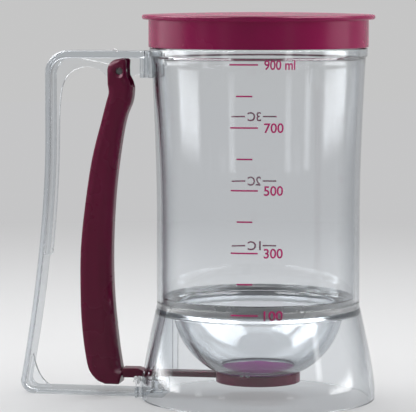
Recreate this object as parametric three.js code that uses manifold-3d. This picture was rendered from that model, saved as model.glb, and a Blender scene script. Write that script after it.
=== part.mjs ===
// Hand-held batter dispenser: a clear measuring jug with a funnel bottom, a side handle, and a
// trigger that swings a round valve away from the outlet under the bowl. Millimetres, +Z up.
// The jug stands on z = 0, the handle points to -X, and the origin is the middle of the footprint.
import * as THREE from 'three';
import { mergeVertices } from 'three/addons/utils/BufferGeometryUtils.js';
import Module from 'manifold-3d';

const wasm = await Module();
wasm.setup();

// Clearances
const seatGap = 0.3; // between pieces that rest on, plug into or are welded to each other
const swingGap = 0.5; // beside the faces of pieces that swing past each other
const cutOverrun = 1; // how far a cut runs past the face it opens

// Main heights
const jugHeight = 180.6; // to the rim of the neck
const seamHeight = 46.8; // where the tube is welded to the funnel base

// Measuring tube
const tubeRadius = 48.5; // outside, at the waist
const tubeWall = 2.5;
const tubeTopRadius = 51.0; // outside, just under the collar
const taperShare = 0.34; // the tube begins to widen this share of the way from the seam to the rim
const neckHeight = 12.8; // from the collar to the rim, inside the lid
const collarTop = jugHeight - neckHeight;
const collarHeight = 4.6;
const collarStep = 0.9; // how far the collar stands out of the tube
const collarRound = 0.6;
const neckRadius = 50.4; // outside
const neckWall = 2.3;

// Funnel base: bowl, outlet, flared skirt and foot ring
const waistDrop = 1.5; // the waist corner lies this far below the seam
const baseRadius = 56;
const footBand = 6; // upright band at the foot of the skirt
const skirtWall = 2.3;
const bowlRadius = 33.3; // radius of the bowl's inner curve, seen in section
const bowlShift = 4.7; // that curve's centre lies this far off the jug axis
const bowlCentreHeight = 45.5;
const bowlWall = 3.0;
const outletRadius = 18;
const lipBottom = 13.2;
const lipRadius = 20.4;
const lipChamfer = 0.5;
const ledgeHeight = 3; // the funnel's rim stands this far up inside the tube
const ledgeFall = 1.2; // and its top falls by this much towards the bowl
const ledgeEdgeRadius = 41.5; // where the rim's top turns down into the bowl
const shoulderWall = 5.2; // thickness of the shoulder that joins bowl and skirt
const shoulderRound = 2.4;

// Weld joint: a tongue of the tube's wall stands in a groove of the funnel base
const tongueWidth = 1.2;
const tongueDepth = 2.7;

// Arm slot and guide ribs on the handle side of the skirt
const slotWidth = 19;
const slotTop = 13.4;
const slotRound = 2.5;
const ribThickness = 1.6;
const ribSpacing = 12; // between the two ribs' middle planes
const ribInnerRadius = 40.5;
const ribBottom = 9.6;
const ribRound = 2.6;

// Handle mount boss on the tube
const bossWidth = 16;
const bossFace = 53.6; // from the jug axis to the boss's flat face
const bossDrop = 1.5; // its top lies this far below the collar's
const bossTop = collarTop - bossDrop;
const bossHeight = 13;
const keyWidth = 5; // the handle's key, and the groove that takes it
const keyDepth = 1.5;
const keyShoulder = 2; // the groove stops this far inside the boss's ends

// Handle
const handleWidth = 16;
const handleReach = 115.3; // from the jug axis to the handle's furthest point
const gripReach = 102.5; // from the jug axis to the outside of the upper grip
const flareShare = 0.757; // share of the handle's height at which the grip begins to lean outwards
const flarePower = 1.75;
const handleTop = bossTop;
const topBar = 3.6;
const stripWall = 2.5; // grip and bottom bar
const topCorner = 11;
const footCorner = 6.5;
const edgeRound = 0.6; // along the handle's long edges
const endPlate = 2.2; // upright plate that meets the boss
const webThickness = 2.4; // middle web of the handle
const ribHeight = 2.9; // middle rib along the inside of the upper grip
const gripRibShare = 0.4; // that rib stops at this share of the handle's height
const ribEndSlope = 3.4; // its end curves back to the grip over this height
const webArchDepth = 36.5; // from the top bar down to where the web has become the rib
const gussetRise = 16; // the lower corner's web, up the grip
const gussetRun = 13; // and along the bottom bar
const saddleHeight = 8; // the handle's foot, where it fills the skirt's slot
const saddleChannel = 10; // open channel in it for the valve arm
const saddleReachIn = 11; // its inner end, inside the foot ring's outer edge
const saddleReachOut = 2.2; // its outer end, beyond that edge
const flangeWidth = 24; // the flanges that clasp the skirt's wall
const flangeThickness = 1.6;
const flangeHeight = 5;

// Trigger and its pivot
const pivotReach = 66.5; // from the jug axis
const pivotDrop = 9.9; // below the handle's top
const pinRadius = 1.5;
const pinInset = 1.2; // the pin's ends lie this far inside the trigger's sides
const earRadius = 4.8; // boss of the handle's web round the pin
const earFrom = 215; // the boss's free edge runs between these angles, in degrees
const earTo = 318;
const triggerWidth = 13.4;
const triggerWall = 2;
const triggerFoot = 5.4; // height of the trigger's foot
const triggerBow = 19.5; // furthest reach of its outer edge beyond the pivot
const headRadius = 5.9;
const headFlat = 3.4; // flat heel of the head, towards the jug
const gripRound = 1.3; // along its edges towards the grip
const fingerRound = 4.4; // along its edges towards the jug, where the fingers pull
const fingerRun = 6.4; // the rounding there runs this far in from the edge
const crossRibs = 5;
const crossRibDropShare = 0.3; // the ribs lie this share of their spacing below an even division
const crossRibThickness = 1.5;
const crossRibSetback = 3.5; // below the channel's open edge

// Valve arm and plate
const plateRadius = 20.2;
const plateBottom = 7.8;
const plateTop = 11.6; // the floor that carries the seal
const plateLipDrop = 0.6; // the rim round the seal stops this far below the outlet's lip
const plateRim = 2.2;
const plateFloor = 1.8;
const plateRound = 0.8;
const armBottom = 9.4;
const armThickness = 2.6;
const armWidth = 8;
const collarReach = 55.5; // the arm's thicker root, from the jug axis
const rootThickness = 3.6;
const tongueLength = 6.5; // the part of the arm inside the trigger's foot
const barbRise = 0.8;
const barbLength = 1.8;

// Valve seal
const sealRadius = 18.6;
const domeRadius = 16.6;
const domeRise = 3.1;
const studRadius = 3; // the seal's stud through the plate
const studHead = 1.2;

// Return spring
const wireRadius = 0.3;
const springTurns = 2.25;
const coilRadius = 2.3;
const fixedLegLength = 18.5;
const movingLegLength = 8;

// Lid
const lidRise = 2.9; // from the neck's rim to the lid's top edge
const flangeRadius = 55.4;
const flangeDepth = 2.2;
const lidRound = 0.8;
const lidDome = 1.1;
const skirtRadius = 52.3;
const lidWall = 1.6;
const lidSkirtTaper = 0.3;
const plugDepth = 5.5; // ring that centres the lid inside the neck
const plugWall = 1.4;
const plugTaper = 0.6;

// Facets
const mergeWithin = 1e-5; // corners closer than this are one corner
const roundSides = 56;
const smallSides = 24;
const arcSteps = 8;
const bowlSteps = 9;
const edgeSteps = 24; // along each edge of the trigger
const swellSteps = 3; // across the rounding of a swollen plate
const eveningPasses = 6;

// Where the handle's foot lies, from the foot ring's edge
const saddleInner = baseRadius - saddleReachIn;
const saddleOuter = baseRadius + saddleReachOut;

// Heights that follow the main ones
const taperStart = seamHeight + taperShare * (jugHeight - seamHeight);
const flareStart = flareShare * handleTop;
const gripRibEnd = gripRibShare * handleTop;
const pivotHeight = handleTop - pivotDrop;
const triggerDrop = pivotHeight - triggerFoot;
const lidTop = jugHeight + lidRise;

// Pitch at which the spring's turns fill the room between the handle's web and the trigger's side
const springRoom = triggerWidth / 2 - triggerWall - webThickness / 2 - 2 * (seatGap + wireRadius);
const springPitch = springRoom / springTurns;

// Placing: the footprint runs from the foot ring to the handle's furthest point
const jugX = (handleReach - baseRadius) / 2;

// Finishes
const clear = { color: 0xe9eef0, roughness: 0.05, metalness: 0, transparent: true, opacity: 0.35 };
const berry = { color: 0x8e1152, roughness: 0.22, metalness: 0 };
const silicone = { color: 0x8a1a6a, roughness: 0.5, metalness: 0 };
const steel = { color: 0xb8babd, roughness: 0.25, metalness: 1 };

// A geometry as a solid. Its shared vertices are merged first.
function solidOf(geometry) {
  const bare = geometry.index ? geometry.toNonIndexed() : geometry.clone();
  bare.deleteAttribute('normal');
  bare.deleteAttribute('uv');
  const merged = mergeVertices(bare, mergeWithin);
  return new wasm.Manifold(new wasm.Mesh({
    numProp: 3,
    vertProperties: new Float32Array(merged.attributes.position.array),
    triVerts: new Uint32Array(merged.index.array),
  }));
}

// A solid back as a geometry.
function geometryOf(solid) {
  const mesh = solid.getMesh();
  const geometry = new THREE.BufferGeometry();
  geometry.setAttribute('position', new THREE.BufferAttribute(mesh.vertProperties, 3));
  geometry.setIndex(new THREE.BufferAttribute(mesh.triVerts, 1));
  geometry.computeVertexNormals();
  return geometry;
}

// Joins any number of solids.
function join(first, ...rest) {
  return rest.reduce((sum, next) => sum.add(next), first);
}

// Signed area of a list of [across, up] points.
function areaOf(points) {
  return points.reduce((sum, [x, y], i) => {
    const [nextX, nextY] = points[(i + 1) % points.length];
    return sum + (x * nextY - nextX * y) / 2;
  }, 0);
}

// A closed profile of [radius, height] points turned about the jug axis.
function turned(points, sides = roundSides) {
  const ordered = areaOf(points) < 0 ? [...points].reverse() : points;
  const loop = [...ordered, ordered[0]].map(([r, z]) => new THREE.Vector2(r, z));
  return solidOf(new THREE.LatheGeometry(loop, sides).rotateX(Math.PI / 2).rotateZ(Math.PI / sides));
}

// A closed outline of [reach, height] points, in the handle's plane, with the given width in Y.
function plate(points, width, round = 0) {
  const shape = new THREE.Shape(points.map(([reach, height]) => new THREE.Vector2(-reach, height)));
  const geometry = new THREE.ExtrudeGeometry(shape, {
    depth: width - 2 * round,
    steps: 1,
    bevelEnabled: round > 0,
    bevelThickness: round,
    bevelSize: round,
    bevelOffset: -round,
    bevelSegments: 2,
  });
  geometry.translate(0, 0, -(width - 2 * round) / 2);
  return solidOf(geometry.rotateX(Math.PI / 2));
}

// Radius of the largest circle inside an outline that touches it at one of its points.
function roomAt(points, index, inward) {
  return points.reduce((room, point, i) => {
    const across = point.clone().sub(points[index]);
    const depth = across.dot(inward);
    return i !== index && depth > mergeWithin ? Math.min(room, across.lengthSq() / (2 * depth)) : room;
  }, Infinity);
}

// Evens out values round a closed outline, none above its limit.
function evened(values, limits = values.map(() => Infinity)) {
  let result = values.map((value, i) => Math.min(value, limits[i]));
  for (let pass = 0; pass < eveningPasses; pass += 1) {
    result = result.map((value, i) => {
      const before = result[(i + result.length - 1) % result.length];
      return Math.min((before + 2 * value + result[(i + 1) % result.length]) / 4, limits[i]);
    });
  }
  return result;
}

// A plate whose sides swell. At each [reach, height, run, drop] of the rim the side starts the drop
// inside the full width, and curves out to it over the run.
function swollen(rim, width) {
  const points = rim.map(([reach, height]) => new THREE.Vector2(-reach, height));
  const count = points.length;
  const turn = Math.sign(areaOf(points.map((p) => [p.x, p.y])));
  const inward = points.map((_, i) => {
    const along = points[(i + 1) % count].clone().sub(points[(i + count - 1) % count]).normalize();
    return new THREE.Vector2(-along.y * turn, along.x * turn);
  });
  const roomShare = 0.9;
  const limits = points.map((_, i) => roomShare * roomAt(points, i, inward[i]));
  const runs = evened(rim.map(([, , run]) => run), limits);
  const drops = evened(rim.map(([, , , drop]) => drop));
  const vertices = [];
  for (let ring = 0; ring < 2 * swellSteps + 2; ring += 1) {
    const side = ring <= swellSteps ? -1 : 1;
    const step = side < 0 ? swellSteps - ring : ring - swellSteps - 1;
    const angle = (Math.PI / 2) * (step / swellSteps);
    points.forEach((point, i) => {
      const spot = point.clone().add(inward[i].clone().multiplyScalar(runs[i] * (1 - Math.cos(angle))));
      const drop = Math.min(drops[i], runs[i]) * (1 - Math.sin(angle));
      vertices.push(spot.x, side * (width / 2 - drop), spot.y);
    });
  }
  const faces = [];
  for (let ring = 0; ring < 2 * swellSteps + 1; ring += 1) {
    for (let i = 0; i < count; i += 1) {
      const a = ring * count + i;
      const b = ring * count + ((i + 1) % count);
      faces.push(a, b, b + count, a, b + count, a + count);
    }
  }
  const last = (2 * swellSteps + 1) * count;
  const outlineOf = (first) => points.map((_, i) => {
    const at = 3 * (first + i);
    return new THREE.Vector2(vertices[at], vertices[at + 2]);
  });
  for (const [a, b, c] of THREE.ShapeUtils.triangulateShape(outlineOf(0), [])) faces.push(a, c, b);
  for (const [a, b, c] of THREE.ShapeUtils.triangulateShape(outlineOf(last), [])) {
    faces.push(last + a, last + b, last + c);
  }
  if (turn > 0) faces.reverse();
  const geometry = new THREE.BufferGeometry();
  geometry.setAttribute('position', new THREE.Float32BufferAttribute(vertices, 3));
  geometry.setIndex(faces);
  return solidOf(geometry);
}

// A block between two reaches and two heights, centred on the handle's plane.
function block(reachA, reachB, low, high, width, offset = 0) {
  const box = new THREE.BoxGeometry(Math.abs(reachB - reachA), width, high - low);
  return solidOf(box.translate(-(reachA + reachB) / 2, offset, (low + high) / 2));
}

// A round bar across the handle's plane.
function crossBar(reach, height, radius, length, offset = 0, sides = smallSides) {
  const bar = new THREE.CylinderGeometry(radius, radius, length, sides);
  return solidOf(bar.translate(-reach, offset, height));
}

// Points on an arc, in degrees, about [reach, height].
function arc([cx, cy], radius, from, to, steps = arcSteps) {
  return Array.from({ length: steps + 1 }, (_, i) => {
    const angle = THREE.MathUtils.degToRad(from + ((to - from) * i) / steps);
    return [cx + radius * Math.cos(angle), cy + radius * Math.sin(angle)];
  });
}

// Points on a smooth curve through the given ones.
function smooth(points, steps) {
  const curve = new THREE.SplineCurve(points.map(([x, y]) => new THREE.Vector2(x, y)));
  return curve.getPoints(steps).map((p) => [p.x, p.y]);
}

// Outside radius of the tube at a height.
function tubeOutside(height) {
  const along = Math.max(0, (height - taperStart) / (collarTop - collarHeight - taperStart));
  return tubeRadius + (tubeTopRadius - tubeRadius) * along ** 1.6;
}

// Outside radius of the skirt at a height.
function skirtOutside(height) {
  const waist = seamHeight - waistDrop;
  const down = Math.min(1, Math.max(0, (waist - height) / (waist - footBand)));
  const flare = baseRadius - tubeRadius;
  const lean = 0.16; // share of the flare that is spent on rounding into the upright band
  return tubeRadius + flare * ((1 + lean) * down - lean * down ** 4);
}

// Heights from one to another in even steps.
function levels(from, to, count) {
  return Array.from({ length: count + 1 }, (_, i) => from + ((to - from) * i) / count);
}

// Clear tube with its collar, neck, weld tongue and handle boss.
function measuringTube() {
  const collarBottom = collarTop - collarHeight;
  const neckInside = neckRadius - neckWall;
  const collarRadius = tubeTopRadius + collarStep;
  const heights = levels(taperStart, collarBottom, 6);
  const profile = [
    [tubeRadius, seamHeight + seatGap],
    ...heights.map((z) => [tubeOutside(z), z]),
    [collarRadius, collarBottom + collarStep],
    [collarRadius, collarTop - collarRound],
    [collarRadius - collarRound, collarTop],
    [neckRadius, collarTop],
    [neckRadius, jugHeight - neckWall / 3],
    [neckRadius - neckWall / 3, jugHeight],
    [neckInside + neckWall / 3, jugHeight],
    [neckInside, jugHeight - neckWall / 3],
    [neckInside, collarTop],
    ...heights.reverse().map((z) => [tubeOutside(z) - tubeWall, z]),
    [tubeRadius - tubeWall, seamHeight - tongueDepth],
    [tubeRadius - tubeWall + tongueWidth, seamHeight - tongueDepth],
    [tubeRadius - tubeWall + tongueWidth, seamHeight + seatGap],
  ];
  const boss = block(tubeTopRadius - tubeWall / 2, bossFace, bossTop - bossHeight, bossTop, bossWidth);
  const keyway = block(
    bossFace - keyDepth - seatGap, bossFace + cutOverrun,
    bossTop - bossHeight + keyShoulder - seatGap, bossTop - keyShoulder + seatGap,
    keyWidth + 2 * seatGap,
  );
  return join(turned(profile), boss).subtract(keyway);
}

// Bowl, outlet lip, shoulder, skirt and foot ring in one moulding, with slot and guide ribs.
function funnelBase() {
  const centre = [bowlShift, bowlCentreHeight];
  const outerRadius = bowlRadius + bowlWall;
  const angleAt = (radius, reach) => -THREE.MathUtils.radToDeg(Math.acos((reach - bowlShift) / radius));
  const innerStart = angleAt(bowlRadius, outletRadius);
  const outerEnd = -THREE.MathUtils.radToDeg(Math.asin((bowlCentreHeight - lipBottom - lipChamfer) / outerRadius));
  const waist = seamHeight - waistDrop;
  const underside = seamHeight - shoulderWall;
  const bowlSide = bowlShift + outerRadius;
  const skirtSide = skirtOutside(underside - shoulderRound) - skirtWall;
  const grooveOuter = tubeRadius - tubeWall + tongueWidth + seatGap;
  const grooveBottom = seamHeight - tongueDepth - seatGap;
  const rimInner = tubeRadius - tubeWall - seatGap;
  const heights = levels(waist, footBand, 6);
  const profile = [
    [baseRadius, 0],
    ...[...heights].reverse().map((z) => [skirtOutside(z), z]),
    [tubeRadius, seamHeight],
    [grooveOuter, seamHeight],
    [grooveOuter, grooveBottom],
    [rimInner, grooveBottom],
    [rimInner, seamHeight + ledgeHeight],
    [ledgeEdgeRadius, seamHeight + ledgeHeight - ledgeFall],
    [bowlShift + bowlRadius + bowlWall / 5, seamHeight],
    ...arc(centre, bowlRadius, 0, innerStart, bowlSteps),
    [outletRadius, lipBottom],
    [lipRadius, lipBottom],
    ...arc(centre, outerRadius, outerEnd, 0, bowlSteps),
    [bowlSide, underside - shoulderRound / 2],
    [bowlSide + shoulderRound / 2, underside],
    [skirtSide - shoulderRound, underside],
    [skirtSide, underside - shoulderRound],
    ...heights.slice(1).map((z) => [skirtOutside(z) - skirtWall, z]),
    [baseRadius - skirtWall, 0],
  ];
  const half = slotWidth / 2;
  const slotShape = new THREE.Shape([
    [-half, -cutOverrun],
    [half, -cutOverrun],
    ...arc([half - slotRound, slotTop - slotRound], slotRound, 0, 90, 4),
    ...arc([slotRound - half, slotTop - slotRound], slotRound, 90, 180, 4),
  ].map(([x, y]) => new THREE.Vector2(x, y)));
  const slotDepth = 2 * (skirtWall + cutOverrun);
  const slotCut = new THREE.ExtrudeGeometry(slotShape, { depth: slotDepth, bevelEnabled: false });
  slotCut.rotateX(Math.PI / 2).rotateZ(Math.PI / 2).translate(-baseRadius - cutOverrun, 0, 0);
  const ribShape = [
    ...arc([ribInnerRadius + ribRound, ribBottom + ribRound], ribRound, 180, 270, 4),
    ...levels(ribBottom, underside, 5).map((z) => [skirtOutside(z) - skirtWall / 2, z]),
    [tubeRadius - skirtWall, underside + shoulderWall / 4],
    [bowlSide - bowlWall / 3, underside + shoulderWall / 4],
    [ribInnerRadius, bowlCentreHeight - shoulderWall],
  ];
  const ribs = [-1, 1].map((side) => plate(ribShape, ribThickness).translate(0, (side * ribSpacing) / 2, 0));
  return join(turned(profile).subtract(solidOf(slotCut)), ...ribs);
}

// Outside of the grip at a height above the foot corner.
function gripOutside(height) {
  const lowest = footCorner;
  const down = Math.max(0, (flareStart - height) / (flareStart - lowest));
  return gripReach + (handleReach - gripReach) * down ** flarePower;
}

// The handle's bent strip, seen from the side.
function stripOutline() {
  const start = bossFace + seatGap;
  const cornerCentre = [gripReach - topCorner, handleTop - topCorner];
  const footCentre = [handleReach - footCorner, footCorner];
  const heights = levels(flareStart, footCorner, 8);
  const innerCorner = topCorner - stripWall;
  const footInner = footCorner - stripWall;
  return [
    [start, handleTop],
    ...arc(cornerCentre, topCorner, 90, 0),
    ...heights.map((z) => [gripOutside(z), z]),
    ...arc(footCentre, footCorner, 0, -90).slice(1),
    [saddleInner, 0],
    [saddleInner, stripWall],
    ...arc(footCentre, footInner, -90, 0),
    ...heights.reverse().slice(1).map((z) => [gripOutside(z) - stripWall, z]),
    ...arc([cornerCentre[0], handleTop - topBar - innerCorner], innerCorner, 0, 90),
    [start, handleTop - topBar],
  ];
}

// The handle's middle web: ear round the pivot, arch to the grip, and the rib down the grip.
function webOutline() {
  const barUnder = handleTop - topBar;
  const gripInside = (z) => gripOutside(z) - stripWall;
  const span = gripInside(flareStart) - pivotReach;
  const archShares = [
    [0.224, 0.241], [0.29, 0.184], [0.37, 0.142], [0.5, 0.12], [0.63, 0.145],
    [0.749, 0.205], [0.836, 0.31], [0.88, 0.468], [0.905, 0.72], [0.913, 1],
  ];
  const arch = smooth(archShares.map(([across, down]) => [
    pivotReach + across * span,
    barUnder - down * webArchDepth,
  ]), 20);
  const ribEdge = levels(barUnder - webArchDepth, gripRibEnd + ribEndSlope, 5).slice(1)
    .map((z) => [gripInside(z) - ribHeight, z]);
  const backing = levels(gripRibEnd, handleTop - topCorner, 6).map((z) => [gripOutside(z) - stripWall / 2, z]);
  const inside = bossFace + seatGap + endPlate / 2;
  return [
    [inside, handleTop - topBar / 2],
    [inside, handleTop - bossHeight + endPlate],
    ...arc([pivotReach, pivotHeight], earRadius, earFrom, earTo),
    ...arch,
    ...ribEdge,
    [gripInside(gripRibEnd) - ribHeight / 3, gripRibEnd + ribEndSlope / 3],
    ...backing,
    ...arc([gripReach - topCorner, handleTop - topCorner], topCorner - stripWall / 2, 0, 90),
  ];
}

// The web in the handle's lower corner.
function gussetOutline() {
  const top = stripWall + gussetRise;
  const start = new THREE.Vector2(gripOutside(top) - stripWall, top);
  const end = new THREE.Vector2(gripOutside(stripWall) - stripWall - gussetRun, stripWall);
  const bend = new THREE.Vector2(start.x - gussetRun / 6, stripWall + gussetRise / 6);
  const edge = new THREE.QuadraticBezierCurve(start, bend, end).getPoints(arcSteps).map((p) => [p.x, p.y]);
  return [
    ...edge,
    [end.x, stripWall / 2],
    ...arc([handleReach - footCorner, footCorner], footCorner - stripWall / 2, -90, 0),
    [gripOutside(top) - stripWall / 2, top],
  ];
}

// The handle's foot: a saddle that fills the skirt's slot, with flanges inside and outside it.
function handleFoot() {
  const width = slotWidth - 2 * seatGap;
  const clasp = (reach) => block(reach, reach + flangeThickness, 0, flangeHeight, flangeWidth);
  const saddle = join(
    block(saddleInner, saddleOuter, 0, saddleHeight, width),
    clasp(saddleOuter - flangeThickness),
  );
  const channel = block(
    saddleInner - cutOverrun, saddleOuter + cutOverrun, stripWall, saddleHeight + cutOverrun, saddleChannel,
  );
  return saddle.subtract(channel);
}

// Clear handle in one moulding.
function handle() {
  const face = bossFace + seatGap;
  const strip = plate(stripOutline(), handleWidth, edgeRound);
  const web = plate(webOutline(), webThickness);
  const gusset = plate(gussetOutline(), webThickness);
  const end = block(face, face + endPlate, handleTop - bossHeight, handleTop, handleWidth);
  const key = block(
    face - keyDepth, face + endPlate / 2,
    bossTop - bossHeight + keyShoulder, bossTop - keyShoulder, keyWidth,
  );
  const bore = crossBar(pivotReach, pivotHeight, pinRadius + seatGap, webThickness + 2 * cutOverrun);
  return join(strip, web, gusset, end, key, handleFoot()).subtract(bore);
}

// The trigger's outer edge, from the head down to the foot, and its inner edge back up.
function triggerEdges() {
  const place = ([down, reach]) => [pivotReach + reach * triggerBow, pivotHeight - down * triggerDrop];
  const outerShares = [
    [0.044, 0.29], [0.069, 0.27], [0.1, 0.333], [0.155, 0.446], [0.282, 0.697], [0.436, 0.882],
    [0.577, 0.99], [0.731, 0.995], [0.821, 0.959], [0.899, 0.887], [0.956, 0.79], [0.988, 0.6], [1, 0.395],
  ];
  const innerShares = [
    [1, 0.03], [0.968, -0.03], [0.94, 0.005], [0.87, 0.085], [0.737, 0.19], [0.61, 0.226], [0.48, 0.2],
    [0.352, 0.125], [0.223, -0.01], [0.149, -0.125], [0.1, -0.27], [0.065, -0.312], [0.035, -0.3],
    [0.008, -0.19],
  ];
  return [outerShares.map(place), innerShares.map(place)];
}

// Trigger lever: a curved channel, open towards the grip, with a forked head and a socketed foot.
function triggerLever() {
  const [outer, inner] = triggerEdges();
  const centre = [pivotReach, pivotHeight];
  const heelReach = pivotReach - headFlat;
  const headTop = pivotHeight + headRadius;
  const footTop = triggerFoot + headRadius;
  const gripSide = [
    [heelReach - headFlat / 6, pivotHeight + headFlat / 2],
    [heelReach, headTop - gripRound],
    ...arc(centre, headRadius, 90, -6, 6),
    ...smooth(outer, edgeSteps),
  ].map(([r, z]) => [r, z, 3 * gripRound, gripRound]);
  const fingerSide = smooth(inner, edgeSteps).map(([r, z]) => (
    z > footTop ? [r, z, fingerRun, fingerRound] : [r, z, gripRound, gripRound]
  ));
  const body = swollen([...gripSide, ...fingerSide], triggerWidth);
  const outside = pivotReach + triggerBow + headRadius;
  const channelEdge = [
    [heelReach - 2 * headRadius, headTop + headRadius],
    [outside, headTop + headRadius],
    [outside, triggerFoot + triggerWall],
  ].map(([r, z]) => [r, z, gripRound, gripRound]);
  const slotBottom = pivotHeight - earRadius - swingGap;
  const channelFloor = smooth(inner, edgeSteps)
    .filter(([, z]) => z > triggerFoot + 2 * triggerWall && z < slotBottom - gripRound)
    .map(([r, z]) => [r + triggerWall, z, fingerRun - triggerWall, fingerRound - triggerWall]);
  const slotEnd = [heelReach - 2 * headRadius, slotBottom, gripRound, gripRound];
  const channel = swollen([...channelEdge, ...channelFloor, slotEnd], triggerWidth - 2 * triggerWall);
  const wallReach = footWallReach();
  const armTop = armBottom + armThickness;
  const pocketEnd = wallReach + triggerWall + tongueLength + seatGap;
  const socketWidth = armWidth + 2 * seatGap;
  const socket = join(
    block(pivotReach - triggerBow, pocketEnd, armBottom - seatGap, armTop + seatGap, socketWidth),
    block(wallReach + triggerWall, pocketEnd, armBottom - seatGap, armTop + barbRise + seatGap, socketWidth),
  );
  const bore = crossBar(pivotReach, pivotHeight, pinRadius + seatGap, triggerWidth + 2 * cutOverrun);
  const ribs = Array.from({ length: crossRibs }, (_, i) => {
    const down = (i + 1 + crossRibDropShare) / (crossRibs + 1);
    const height = pivotHeight - down * triggerDrop;
    const outerReach = edgeReach(outer, height) - crossRibSetback;
    const innerReach = edgeReach(inner, height) + triggerWall / 2;
    return block(innerReach, outerReach, height, height + crossRibThickness, triggerWidth);
  });
  return body.subtract(channel.subtract(join(...ribs))).subtract(socket).subtract(bore);
}

// Reach of an edge, given as points, at a height.
function edgeReach(points, height) {
  const curve = smooth(points, 60);
  const nearest = curve.reduce((best, p) => (Math.abs(p[1] - height) < Math.abs(best[1] - height) ? p : best));
  return nearest[0];
}

// Reach of the trigger's inner edge at the arm's height.
function footWallReach() {
  const [, inner] = triggerEdges();
  return edgeReach(inner, armBottom + armThickness / 2);
}

// Round valve plate, dished underneath, with the arm that carries it from the trigger's foot.
function valveArm() {
  const rimInner = plateRadius - plateRim;
  const rimTop = lipBottom - plateLipDrop;
  const dish = turned([
    [0, plateTop],
    [sealRadius + seatGap, plateTop],
    [sealRadius + seatGap, rimTop],
    [plateRadius - plateRound, rimTop],
    [plateRadius, rimTop - plateRound],
    [plateRadius, plateBottom],
    [rimInner, plateBottom],
    [rimInner, plateTop - plateFloor],
    [0, plateTop - plateFloor],
  ], 40);
  const wallReach = footWallReach();
  const tip = wallReach + triggerWall + tongueLength;
  const bar = block(plateRadius - plateRound, tip, armBottom, armBottom + armThickness, armWidth);
  const root = plate([
    [collarReach, armBottom],
    [collarReach, armBottom + armThickness],
    [collarReach + armThickness, armBottom + rootThickness],
    [wallReach - seatGap, armBottom + rootThickness],
    [wallReach - seatGap, armBottom + armThickness - rootThickness],
    [collarReach + armThickness, armBottom + armThickness - rootThickness],
  ], armWidth);
  const barbStart = wallReach + triggerWall + 2 * seatGap;
  const barb = plate([
    [barbStart, armBottom + armThickness / 2],
    [barbStart, armBottom + armThickness + barbRise],
    [barbStart + barbLength, armBottom + armThickness / 2],
  ], armWidth - 2 * barbRise);
  const studHole = turned([
    [0, plateBottom - cutOverrun],
    [studRadius / 2 + seatGap, plateBottom - cutOverrun],
    [studRadius / 2 + seatGap, plateTop + cutOverrun],
    [0, plateTop + cutOverrun],
  ], smallSides);
  return join(dish, bar, root, barb).subtract(studHole);
}

// Soft domed disc that closes the outlet, held to the plate by a headed stud.
function valveSeal() {
  const flangeTop = lipBottom - seatGap;
  const flangeLow = plateTop + seatGap;
  const domeSphere = (domeRadius ** 2 + domeRise ** 2) / (2 * domeRise);
  const domeAngle = THREE.MathUtils.radToDeg(Math.asin(domeRadius / domeSphere));
  const dome = arc([0, flangeTop + domeRise - domeSphere], domeSphere, 90 - domeAngle, 90, 5);
  const headTop = plateTop - plateFloor - seatGap;
  return turned([
    [0, headTop - studHead],
    [studRadius / 2, headTop - studHead],
    [studRadius, headTop],
    [studRadius / 2, headTop],
    [studRadius / 2, flangeLow],
    [sealRadius, flangeLow],
    [sealRadius, flangeTop],
    ...dome,
  ], 40);
}

// Pivot pin through the trigger's fork and the handle's ear.
function pivotPin() {
  return crossBar(pivotReach, pivotHeight, pinRadius, triggerWidth - 2 * pinInset);
}

// A round wire along a path, closed at both ends.
function wire(path, radius, sides) {
  const frames = path.map((point, i) => {
    const before = path[Math.max(0, i - 1)];
    const after = path[Math.min(path.length - 1, i + 1)];
    return { point, along: after.clone().sub(before).normalize() };
  });
  let across = new THREE.Vector3(0, 1, 0).cross(frames[0].along).normalize();
  const rings = frames.map(({ point, along }) => {
    across = across.clone().sub(along.clone().multiplyScalar(across.dot(along))).normalize();
    const up = along.clone().cross(across);
    return Array.from({ length: sides }, (_, k) => {
      const angle = (2 * Math.PI * k) / sides;
      return point.clone()
        .add(across.clone().multiplyScalar(radius * Math.cos(angle)))
        .add(up.clone().multiplyScalar(radius * Math.sin(angle)));
    });
  });
  const points = rings.flat();
  const faces = [];
  for (let i = 0; i + 1 < rings.length; i += 1) {
    for (let k = 0; k < sides; k += 1) {
      const a = i * sides + k;
      const b = i * sides + ((k + 1) % sides);
      faces.push(a, b, b + sides, a, b + sides, a + sides);
    }
  }
  const last = (rings.length - 1) * sides;
  for (let k = 1; k + 1 < sides; k += 1) {
    faces.push(0, k + 1, k);
    faces.push(last, last + k, last + k + 1);
  }
  const geometry = new THREE.BufferGeometry();
  geometry.setAttribute('position', new THREE.Float32BufferAttribute(points.flatMap((p) => p.toArray()), 3));
  geometry.setIndex(faces);
  return geometry;
}

// Path of the torsion spring: a leg under the top bar, the turns round the pin, a leg in the trigger.
function springPath() {
  const beside = webThickness / 2 + seatGap + wireRadius;
  const steps = Math.round(8 * springTurns);
  const turns = Array.from({ length: steps + 1 }, (_, i) => {
    const angle = Math.PI / 2 + (2 * Math.PI * springTurns * i) / steps;
    return new THREE.Vector3(
      -pivotReach - coilRadius * Math.cos(angle),
      -beside - springPitch * springTurns * (1 - i / steps),
      pivotHeight + coilRadius * Math.sin(angle),
    );
  });
  const first = turns[0];
  const last = turns[turns.length - 1];
  const underBar = handleTop - topBar - seatGap - wireRadius;
  const fixedEnd = new THREE.Vector3(first.x - fixedLegLength, first.y, underBar);
  const movingEnd = last.clone().add(new THREE.Vector3(0, 0, -movingLegLength));
  return [fixedEnd, ...turns, movingEnd];
}

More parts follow.
